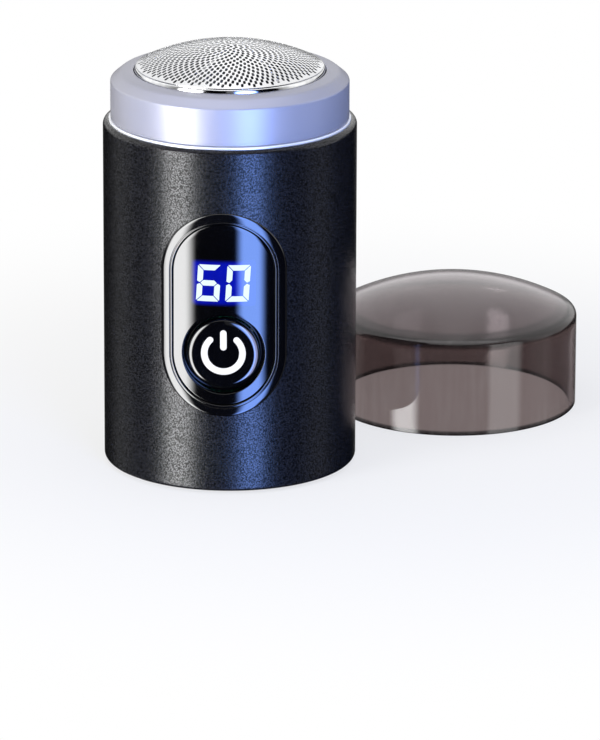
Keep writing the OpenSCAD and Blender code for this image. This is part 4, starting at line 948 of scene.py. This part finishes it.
class SHAVER_OT_button(PieceOperator, bpy.types.Operator):
    """Makes the push button, its lit mark and its well"""
    bl_idname = "shaver.button"
    bl_label = "Power button"

    def dish(self, size, radius):
        """Height of the button's face at a radius: a parabola that rises from the dish's
        depth at the centre to the crown."""
        edge = BUTTON_R - size.crown_width
        return BUTTON_FACE - size.dish_depth * (1 - (radius / edge) ** 2)

    def build(self, size):
        """Outlines turned about the line that points out of the front. The crown leans a
        little more from point to point and turns down fast at its side, by the degrees at the
        knots along its width; its height is the sum of the slopes. The mark is a ring with an
        opening and a bar, each a stroke that is inlaid in the dish."""
        edge, back = BUTTON_R - size.crown_width, BUTTON_FACE - 2.0 * MM
        inside = np.linspace(0, edge, 28)
        dish = np.stack([inside, self.dish(size, inside)], 1)
        s = np.linspace(0, 1, 41)[1:]
        knots, degrees = (0, 0.12, 0.78, 1), (0, 11, 31, 84)
        lean = np.radians(np.interp(s, knots, degrees))
        fall = np.cumsum(np.tan(lean)) * size.crown_width / len(s)
        crown = np.stack([edge + size.crown_width * s, BUTTON_FACE - fall], 1)[::2]
        outline = np.concatenate([dish, crown, [(BUTTON_R, back), (0, back)]])
        points = turned_out(outline, BUTTON_Z, BUTTON_POINTS)
        add_piece("button_cap", grid_mesh("button_cap", points, close_columns=False), "button",
                  "button_gloss", ["power_button"], sharp=40)

        sweep = np.linspace(size.mark_gap, TURN - size.mark_gap, 90)
        arc = size.mark_radius * np.stack([np.sin(sweep), np.cos(sweep)], 1)
        half, proud, deep = size.mark_width / 2, 0.03 * MM, 0.5 * MM
        up = np.linspace(size.mark_bar_low + half, size.mark_bar_high - half, 14)
        bar = np.stack([0 * up, up], 1)
        mark_z = BUTTON_Z + size.mark_lift
        grids = []
        for path in (arc, bar):
            flat, height = stroke(path, half, lambda r: self.dish(size, r) + proud,
                                  BUTTON_FACE - size.dish_depth - deep)
            grids.append(np.stack([flat[..., 0], -height, flat[..., 1] + mark_z], -1))
        add_piece("button_mark", joined_mesh("button_mark", grids), "button",
                  "icon_glow", ["button_icon"], sharp=60)

        low, high = BUTTON_FACE - 3.2 * MM, BUTTON_FACE - 2.2 * MM
        inner, outer, edge = BUTTON_R + 0.15 * MM, size.hole_radius - 0.03 * MM, 0.15 * MM
        ring = rounded([(inner, low), (inner, high), (outer, high), (outer, low)],
                       [0, edge, edge, 0])
        points = turned_out(ring, BUTTON_Z, BUTTON_POINTS)
        add_piece("button_well_ring", grid_mesh("button_well_ring", points), "root",
                  "gloss_black", ["button_well"], sharp=40)


class SHAVER_OT_head(PieceOperator, bpy.types.Operator):
    """Makes the head ring, the accent ring and the chrome rim"""
    bl_idname = "shaver.head"
    bl_label = "Head rings"

    def build(self, size):
        """Rounded outlines, each corner given with its radius, turned about the body's axis.
        The head ring's slope swells out half way between its side and its ledge, and the rim's
        face is a quarter of an ellipse."""
        rim_r = FOIL_R + size.rim_wall
        lip_r = rim_r + size.rim_gap
        ledge_r = lip_r + size.ledge_width
        inside, side_top = RING_R - 1.55 * MM, RING_Z1 - size.slope_height
        middle = ((RING_R + ledge_r) / 2, (side_top + RING_Z1) / 2 + size.slope_swell)
        ring = rounded(*zip(
            ((inside, RING_Z0), 0), ((RING_R, RING_Z0), 0.2 * MM), ((RING_R, side_top), 0.55 * MM),
            (middle, 2.0 * MM), ((ledge_r, RING_Z1), 0.14 * MM), ((lip_r, RING_Z1), 0.1 * MM),
            ((lip_r, RING_Z1 - 1.1 * MM), 0), ((ledge_r, RING_Z1 - 1.2 * MM), 0),
            ((inside, side_top - 0.45 * MM), 0)))
        self.add_ring("head_ring_shell", ring, "head", "ring_anodised", "head_ring")

        inside = RING_R - 2.0 * MM
        accent = rounded(*zip(
            ((inside, ACCENT_Z0), 0), ((ACCENT_R, ACCENT_Z0), 0.1 * MM),
            ((ACCENT_R, ACCENT_Z1), 0.22 * MM), ((inside, ACCENT_Z1), 0)))
        self.add_ring("accent_ring_band", accent, "root", "bright_ring", "accent_ring")

        inner, flange_r = FOIL_R + 0.03 * MM, rim_r + 1.0 * MM
        shelf, crest = RIM_Z0 + 0.5 * MM, RIM_Z1 - size.rim_step
        low = max(shelf, RING_Z1 - 0.4 * MM)
        bend = np.linspace(0, math.pi / 2, 14)
        band = np.stack([inner + (rim_r - inner) * np.cos(bend),
                         low + (crest - low) * np.sin(bend)], 1)
        rim = np.concatenate([[(inner, RIM_Z0), (flange_r, RIM_Z0), (flange_r, shelf),
                               (rim_r, shelf)], band])
        self.add_ring("foil_rim_band", rim, "head", "rim_chrome", "foil_rim")

    def add_ring(self, name, outline, body, slot, node):
        """Turns an outline about the body's axis and adds it as a piece."""
        mesh = grid_mesh(name, revolved(outline, RING_POINTS))
        add_piece(name, mesh, body, slot, [node], sharp=45)


class SHAVER_OT_foil(PieceOperator, bpy.types.Operator):
    """Makes the domed foil with its slots"""
    bl_idname = "shaver.foil"
    bl_label = "Foil"

    def slots(self, size, reach_out):
        """Flat outlines of the slots. Slot n sits at the slot spacing times the square root of
        n from the pole and at n golden angles round it, so the lattice is even all over and its
        slots line up in crossing spirals. Each slot is a rectangle with chamfered corners that
        leans from the radius by the slot lean."""
        number = np.arange(0.5, (reach_out / size.slot_spacing) ** 2)
        radius, angle = size.slot_spacing * np.sqrt(number), GOLDEN_ANGLE * number
        flank, end = 0.7, 0.5
        along = np.array([-1, -flank, flank, 1, 1, flank, -flank, -1]) * size.slot_length / 2
        across = np.array([-end, -1, -1, -end, end, 1, 1, end]) * size.slot_width / 2
        turned = (angle + size.slot_lean)[:, None]
        x = (radius * np.cos(angle))[:, None] + along * np.cos(turned) - across * np.sin(turned)
        y = (radius * np.sin(angle))[:, None] + along * np.sin(turned) + across * np.cos(turned)
        return np.stack([x, y], -1)

    def sheet(self, size, edge):
        """Flat points and triangles of a disc with its slots cut out. The slots and three
        circles at the edge are joined by a triangulation, from which the triangles inside a
        slot are dropped: those whose middle lies on one side of all the nearest slot's sides."""
        insets = (0, 0.3 * MM, 0.7 * MM)
        slots = self.slots(size, edge - size.foil_band - size.slot_length / 2)
        rings = [circle(edge - inset, FOIL_POINTS) for inset in insets]
        flat = np.concatenate([*rings, slots.reshape(-1, 2)])
        number, on_rings = np.arange(len(flat)), len(insets) * FOIL_POINTS
        loops = [*number[:on_rings].reshape(-1, FOIL_POINTS),
                 *number[on_rings:].reshape(-1, slots.shape[1])]
        edges = np.concatenate([np.stack([loop, np.roll(loop, -1)], 1) for loop in loops])
        made = delaunay_2d_cdt([Vector(v) for v in flat / MM], edges.tolist(), [], 1, 1e-6)
        flat = np.array([tuple(v) for v in made[0]]) * MM
        faces = np.array(made[2])
        middle = flat[faces].mean(1)
        nearest = np.argmin(np.linalg.norm(middle[:, None] - slots.mean(1)[None], axis=2), 1)
        loop = slots[nearest]
        side, away = np.roll(loop, -1, 1) - loop, middle[:, None] - loop
        turn = side[..., 0] * away[..., 1] - side[..., 1] * away[..., 0]
        inside = (turn > 0).all(1) | (turn < 0).all(1)
        return flat, faces[~inside]

    def build(self, size):
        """The flat sheet is laid on a sphere of the foil's radius and rise: a flat distance
        from the pole becomes an arc length. The skirt inside the chrome rim follows, and
        Solidify gives the thickness."""
        ball = sphere_through(FOIL_R, size.foil_rise)
        edge = ball * math.asin(FOIL_R / ball)
        flat, faces = self.sheet(size, edge)
        arc = np.linalg.norm(flat, axis=1)
        tilt, outwards = arc / ball, flat / np.maximum(arc, 1e-9)[:, None]
        dome = np.concatenate([ball * np.sin(tilt)[:, None] * outwards,
                               (FOIL_TOP - ball + ball * np.cos(tilt))[:, None]], 1)

        on_rim = np.nonzero(arc > edge - 1e-7)[0]
        rim = on_rim[np.argsort(np.arctan2(flat[on_rim, 1], flat[on_rim, 0]))]
        points, faces, previous = [dome], faces.tolist(), rim
        total, skirt_top = len(dome), RIM_Z1 - 0.5 * MM
        for z in (skirt_top, FOIL_LOW):
            ring = dome[rim].copy()
            ring[:, 2] = z
            points.append(ring)
            current = total + np.arange(len(rim))
            faces += np.stack([previous, np.roll(previous, -1), np.roll(current, -1), current],
                              1).tolist()
            previous, total = current, total + len(rim)
        mesh = bpy.data.meshes.new("foil_dome")
        mesh.from_pydata(np.concatenate(points).tolist(), [], faces)
        piece = add_piece("foil_dome", mesh, "head", "foil_steel", ["foil"], sharp=30)
        wall = piece.modifiers.new("Thickness", "SOLIDIFY")
        wall.thickness = size.foil_thickness
        wall.offset = -1.0


class SHAVER_OT_cap(PieceOperator, bpy.types.Operator):
    """Makes the smoked dust cap that stands beside the body"""
    bl_idname = "shaver.cap"
    bl_label = "Dust cap"

    def skin(self, middle, ball, radius, fillet):
        """Outline from the upright wall to the pole: an arc of the fillet's radius that touches
        the wall and a sphere about the given height, then the sphere itself."""
        across = radius - fillet
        height = middle + math.sqrt((ball - fillet) ** 2 - across ** 2)
        start = math.atan2(across, height - middle)
        lean = np.linspace(math.pi / 2, start, 9)
        arc = np.stack([across + fillet * np.sin(lean), height + fillet * np.cos(lean)], 1)
        lean = np.linspace(start, 0, 40)[1:]
        return np.concatenate([arc, np.stack([ball * np.sin(lean),
                                              middle + ball * np.cos(lean)], 1)])

    def build(self, size):
        """A shell outline turned about the cap's axis: upright wall, small shoulder and a top
        on a sphere of the cap's radius and rise. The inside is the same one wall further in,
        with a wider fillet, so the shoulder is thick."""
        wall, inner_r = size.cap_wall, CAP_R - size.cap_wall
        ball = sphere_through(CAP_R, size.cap_rise)
        outside = self.skin(CAP_TOP - ball, ball, CAP_R, size.cap_shoulder)
        inside = self.skin(CAP_TOP - ball, ball - wall, inner_r, size.cap_fillet)[::-1]
        bend = np.linspace(0, math.pi / 2, 6)
        foot_r = 0.2 * MM
        x, z = foot_r * np.sin(bend), foot_r * np.cos(bend)
        foot_out = np.stack([CAP_R - foot_r + x, foot_r - z], 1)
        foot_in = np.stack([inner_r + foot_r - z, foot_r - x], 1)
        up = np.linspace(foot_r, outside[0, 1], 10)[1:-1]
        down = np.linspace(inside[-1, 1], foot_r, 10)[1:-1]
        wall_out = np.stack([0 * up + CAP_R, up], 1)
        wall_in = np.stack([0 * down + inner_r, down], 1)
        outline = np.concatenate([foot_out, wall_out, outside, inside, wall_in, foot_in])
        points = revolved(outline, CAP_POINTS, CAP_MID[:2])
        add_piece("dust_cap_shell", grid_mesh("dust_cap_shell", points), "cap",
                  "cap_smoke", ["dust_cap"], sharp=40)


class SHAVER_OT_inside(PieceOperator, bpy.types.Operator):
    """Dresses everything inside the body and under the foil"""
    bl_idname = "shaver.inside"
    bl_label = "Inside"

    def build(self, size):
        dress("top_deck", "deck_magnets", "shaft_seal", "motor_screws", "chassis_front",
              "chassis_rear", "chassis_screws", "main_board", "board_chips", "board_passives",
              "status_leds", "display_module", "tact_switch", "battery_cell", "battery_terminal",
              "battery_tabs", "motor_can", "motor_endbell", "motor_magnets", "motor_bushes",
              "motor_brushes", "battery_wires", "motor_wires", "charge_wires", "switch_plunger",
              "motor_shaft", "motor_armature", "motor_windings", "motor_commutator",
              "drive_coupler", "cutter_hub", "cutter_plate", "cutter_blades",
              "foil_carrier", "head_keeper", "head_seal")


class SHAVER_OT_spring(PieceOperator, bpy.types.Operator):
    """Makes the coil spring under the cutter"""
    bl_idname = "shaver.spring"
    bl_label = "Cutter spring"

    def build(self, size):
        """A round wire swept along a helix that rises evenly with its turn. Its ends are drawn
        to a point."""
        low, high = foot("cutter_spring"), reach("cutter_spring")
        wire = size.spring_wire / 2
        radius = high[0] - wire
        steps, sides = 48, 12
        angle = np.linspace(0, TURN * size.spring_turns, steps * size.spring_turns + 1)
        rise = (high[2] - low[2] - 2 * wire) / angle[-1]
        outwards = np.stack([np.cos(angle), np.sin(angle), 0 * angle], 1)
        along = np.stack([-radius * np.sin(angle), radius * np.cos(angle), rise + 0 * angle], 1)
        across = np.cross(outwards, along / np.linalg.norm(along, axis=1)[:, None])
        centre = radius * outwards + [0, 0, low[2] + wire]
        centre[:, 2] += rise * angle
        bend = TURN * np.arange(sides)[:, None] / sides
        rings = [c + wire * (np.cos(bend) * out + np.sin(bend) * side)
                 for c, out, side in zip(centre, outwards, across)]
        ends = [np.repeat(centre[[k]], len(bend), 0) for k in (0, -1)]
        points = np.stack([ends[0], *rings, ends[1]])
        mesh = grid_mesh("cutter_spring_coil", points, close_rows=False)
        coil = add_piece("cutter_spring_coil", mesh, "spindle", "spring_steel",
                         ["cutter_spring"], sharp=50)
        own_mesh(coil)


# ---------------------------------------------------------------- stage

def strip_light(name, span, fades, rgb, radiance):
    """Upright softbox facing the body's axis between two compass angles; its power follows
    from its area and radiance, its sides fade over their shares of the width and its ends over
    a share of the height."""
    bottom, top, distance, upright_fade = -0.6, 0.4, 0.5, 0.15
    azimuth, half = math.radians(sum(span) / 2), math.radians(span[1] - span[0]) / 2
    data = bpy.data.lights.new(name, "AREA")
    data.shape = "RECTANGLE"
    data.size, data.size_y = 2 * distance * math.tan(half), top - bottom
    data.energy = radiance * math.pi * data.size * data.size_y
    data.color = rgb
    data.use_nodes = True
    tree = data.node_tree
    lamp = tree.nodes["Emission"]
    across = add(tree, "ShaderNodeSeparateXYZ",
                 {"Vector": tree.nodes.new("ShaderNodeNewGeometry").outputs["Parametric"]}).outputs
    share = None
    for axis, start, end in (("X", 0, fades[0]), ("X", 1, 1 - fades[1]),
                             ("Y", 0, upright_fade), ("Y", 1, 1 - upright_fade)):
        side = ramp(tree, across[axis], start, end)
        share = side if share is None else maths(tree, "MULTIPLY", share, side)
    tree.links.new(share, lamp.inputs["Strength"])
    light = bpy.data.objects.new(name, data)
    bpy.context.scene.collection.objects.link(light)
    away = Vector((math.sin(azimuth), -math.cos(azimuth), 0))
    light.location = away * distance + Vector((0, 0, (top + bottom) / 2))
    light.rotation_euler = away.to_track_quat("Z", "Y").to_euler()
    light.visible_camera = False


def mix_shaders(tree, share, one, two):
    """Mix Shader node between two shader nodes."""
    node = tree.nodes.new("ShaderNodeMixShader")
    for target, source in zip(node.inputs, (share, one.outputs[0], two.outputs[0])):
        tree.links.new(source, target)
    return node


def studio_world():
    """White for the camera and through clear things, an even soft level for plain surfaces, and
    for gloss a studio that is pale above the horizon and dark below it, with a dimmer front, two
    dark gaps in it and a glow at the sides and behind."""
    world = bpy.data.worlds.new("Studio")
    bpy.context.scene.world = world
    world.use_nodes = True
    tree = world.node_tree
    tree.nodes.clear()
    output = tree.nodes.new("ShaderNodeOutputWorld")
    direction = tree.nodes.new("ShaderNodeTexCoord").outputs["Generated"]
    parts = add(tree, "ShaderNodeSeparateXYZ", {"Vector": direction}).outputs
    compass = maths(tree, "ARCTAN2", parts["X"], maths(tree, "MULTIPLY", parts["Y"], -1))
    aside = maths(tree, "ABSOLUTE", compass)

    def swing(source, degrees, low=0.0, high=1.0):
        """Smooth step over an angle from its first to its second value in degrees."""
        return ramp(tree, source, *(math.radians(angle) for angle in degrees), low, high)

    def sector(start, end, soft):
        """Mask of a stretch of the compass with soft ends."""
        return maths(tree, "MULTIPLY", swing(compass, (start - soft, start + soft)),
                     swing(compass, (end + soft, end - soft)))

    def either(one, two):
        return maths(tree, "MAXIMUM", one, two)

    sink = maths(tree, "ADD", swing(aside, SIDES, 0.0, SIDE_SINK),
                 swing(aside, BEHIND, 0.0, BACK_SINK))
    horizon = ramp(tree, maths(tree, "ADD", parts["Z"], sink), -0.02, 0.14)
    sky = ramp(tree, parts["Z"], -0.4, 0.3, 0.55, 0.95)
    pale = maths(tree, "MULTIPLY", horizon, sky)
    dim = maths(tree, "MULTIPLY", sector(*DIM_FRONT), DIM_SHARE)
    dark = either(either(*(sector(*gap) for gap in DARK_GAPS)), dim)
    glow = either(either(*(sector(*side) for side in SIDE_GLOWS)), swing(aside, BACK_GLOW))
    pale = maths(tree, "ADD", pale, maths(tree, "MULTIPLY", glow, GLOW_LEVEL))
    below_zenith = ramp(tree, parts["Z"], 0.95, 0.75)
    front = maths(tree, "SUBTRACT", 1.0, maths(tree, "MULTIPLY", dark, below_zenith))
    level = maths(tree, "MULTIPLY", pale, front)
    path = tree.nodes.new("ShaderNodeLightPath")
    camera = add(tree, "ShaderNodeBackground", Color=(1, 1, 1, 1), Strength=1.0)
    gloss = add(tree, "ShaderNodeBackground", {"Strength": level}, Color=(1, 1, 1, 1))
    fill = add(tree, "ShaderNodeBackground", Color=(0.97, 0.98, 1, 1), Strength=0.5)
    inner = mix_shaders(tree, path.outputs["Is Glossy Ray"], fill, gloss)
    clear = either(path.outputs["Is Camera Ray"], path.outputs["Is Transmission Ray"])
    outer = mix_shaders(tree, clear, inner, camera)
    tree.links.new(outer.outputs[0], output.inputs["Surface"])


def floor_paint():
    """Pale floor: it takes the shadow near the body and the cap, turns to plain white further
    out and can't be seen from below."""
    material = bpy.data.materials.new("Floor")
    material.use_nodes = True
    tree = material.node_tree
    tree.nodes.clear()
    output = tree.nodes.new("ShaderNodeOutputMaterial")
    place = tree.nodes.new("ShaderNodeTexCoord").outputs["Object"]
    between = (CAP_MID[0] / 2, CAP_MID[1] / 2, 0)
    centred = add(tree, "ShaderNodeVectorMath", {0: place}, operation="SUBTRACT")
    centred.inputs[1].default_value = between
    away = add(tree, "ShaderNodeVectorMath", {0: centred.outputs[0]}, operation="LENGTH")
    fade = ramp(tree, away.outputs["Value"], 0.05, 0.16)
    pale = add(tree, "ShaderNodeBsdfDiffuse", Color=(0.86, 0.86, 0.87, 1))
    white = add(tree, "ShaderNodeEmission", Color=(1, 1, 1, 1), Strength=1.0)
    path = tree.nodes.new("ShaderNodeLightPath")
    seen = maths(tree, "MAXIMUM", path.outputs["Is Camera Ray"], path.outputs["Is Transmission Ray"])
    share = maths(tree, "MULTIPLY", seen, spread(tree, fade, 0.7, 1.0))
    mixed = mix_shaders(tree, share, pale, white)
    gone = tree.nodes.new("ShaderNodeBsdfTransparent")
    facing = tree.nodes.new("ShaderNodeNewGeometry")
    final = mix_shaders(tree, facing.outputs["Backfacing"], mixed, gone)
    tree.links.new(final.outputs[0], output.inputs["Surface"])
    return material


class SHAVER_OT_stage(bpy.types.Operator):
    """Makes the floor, the lights and the camera"""
    bl_idname = "shaver.stage"
    bl_label = "Stage"

    def execute(self, context):
        scene = context.scene
        scene.view_settings.view_transform = "Standard"
        studio_world()
        self.lay_floor(scene)
        self.hang_lights(scene)
        self.aim_camera(scene)
        return {"FINISHED"}

    def lay_floor(self, scene):
        half = 1.5
        corners = [(x * half, y * half, 0) for x, y in ((-1, -1), (1, -1), (1, 1), (-1, 1))]
        mesh = bpy.data.meshes.new("floor")
        mesh.from_pydata(corners, [], [(0, 1, 2, 3)])
        mesh.materials.append(floor_paint())
        floor = bpy.data.objects.new("floor", mesh)
        scene.collection.objects.link(floor)
        floor.visible_glossy = False
        floor.visible_shadow = False

    def hang_lights(self, scene):
        """Four strips and a softbox overhead, then which pieces each of them lights."""
        for name, (span, fades, tint, radiance) in STRIPS.items():
            strip_light(name, span, fades, getattr(scene.shaver_colours, tint), radiance)
        side, radiance = 0.7, 0.6
        data = bpy.data.lights.new("top softbox", "AREA")
        data.size, data.energy = side, radiance * math.pi * side ** 2
        top = bpy.data.objects.new("top softbox", data)
        scene.collection.objects.link(top)
        top.location = (0, -0.1, 0.75)
        top.visible_camera = False
        for lamp, (state, names) in LINKED.items():
            linked = bpy.data.collections.new(lamp + " pieces")
            bpy.data.objects[lamp].light_linking.receiver_collection = linked
            for name in names:
                linked.objects.link(bpy.data.objects[name])
            for entry in linked.collection_objects:
                entry.light_linking.link_state = state

    def aim_camera(self, scene):
        """The camera stands on a sphere about the target, faces it and then turns a little
        right and down, so the body sits high and to the left in the frame."""
        azimuth, elevation = math.radians(3.0), 0.2849
        distance, target = 1.2648, Vector((0, 0, 0.0405))
        turn_right, turn_down = math.radians(0.6026), math.radians(1.0136)
        away = Vector((math.sin(azimuth) * math.cos(elevation),
                       -math.cos(azimuth) * math.cos(elevation), math.sin(elevation)))
        facing = away.to_track_quat("Z", "Y")
        offset = Vector((-math.tan(turn_right), math.tan(turn_down), -1)).normalized()
        turn = Vector((0, 0, -1)).rotation_difference(offset)
        data = bpy.data.cameras.new("camera")
        data.lens, data.sensor_width = 324.0, 36.0
        data.clip_end = 20.0
        camera = bpy.data.objects.new("camera", data)
        scene.collection.objects.link(camera)
        rotation = (facing @ turn.inverted()).to_matrix().to_4x4()
        camera.matrix_world = Matrix.Translation(target + away * distance) @ rotation
        scene.camera = camera


class SHAVER_PT_panel(bpy.types.Panel):
    """Lists the shaver's operators, sizes and colours in the sidebar"""
    bl_label = "Shaver"
    bl_idname = "SHAVER_PT_panel"
    bl_space_type = "VIEW_3D"
    bl_region_type = "UI"
    bl_category = "Shaver"

    def draw(self, context):
        column = self.layout.column(align=True)
        for operator in OPERATORS:
            column.operator(operator.bl_idname)
        for group in (context.scene.shaver_sizes, context.scene.shaver_colours):
            box = self.layout.box()
            for name in group.bl_rna.properties.keys():
                if name not in {"rna_type", "name"}:
                    box.prop(group, name)


OPERATORS = [SHAVER_OT_body, SHAVER_OT_bezel, SHAVER_OT_panel, SHAVER_OT_digits, SHAVER_OT_button,
             SHAVER_OT_head, SHAVER_OT_foil, SHAVER_OT_cap, SHAVER_OT_inside, SHAVER_OT_spring,
             SHAVER_OT_stage]
CLASSES = [ShaverSizes, ShaverColours, *OPERATORS, SHAVER_PT_panel]


def register():
    for cls in CLASSES:
        bpy.utils.register_class(cls)
    bpy.types.Scene.shaver_sizes = PointerProperty(type=ShaverSizes)
    bpy.types.Scene.shaver_colours = PointerProperty(type=ShaverColours)


def unregister():
    del bpy.types.Scene.shaver_colours
    del bpy.types.Scene.shaver_sizes
    for cls in reversed(CLASSES):
        bpy.utils.unregister_class(cls)


def main():
    register()
    for operator in OPERATORS:
        getattr(bpy.ops.shaver, operator.bl_idname.split(".")[1])()


if __name__ == "__main__":
    main()
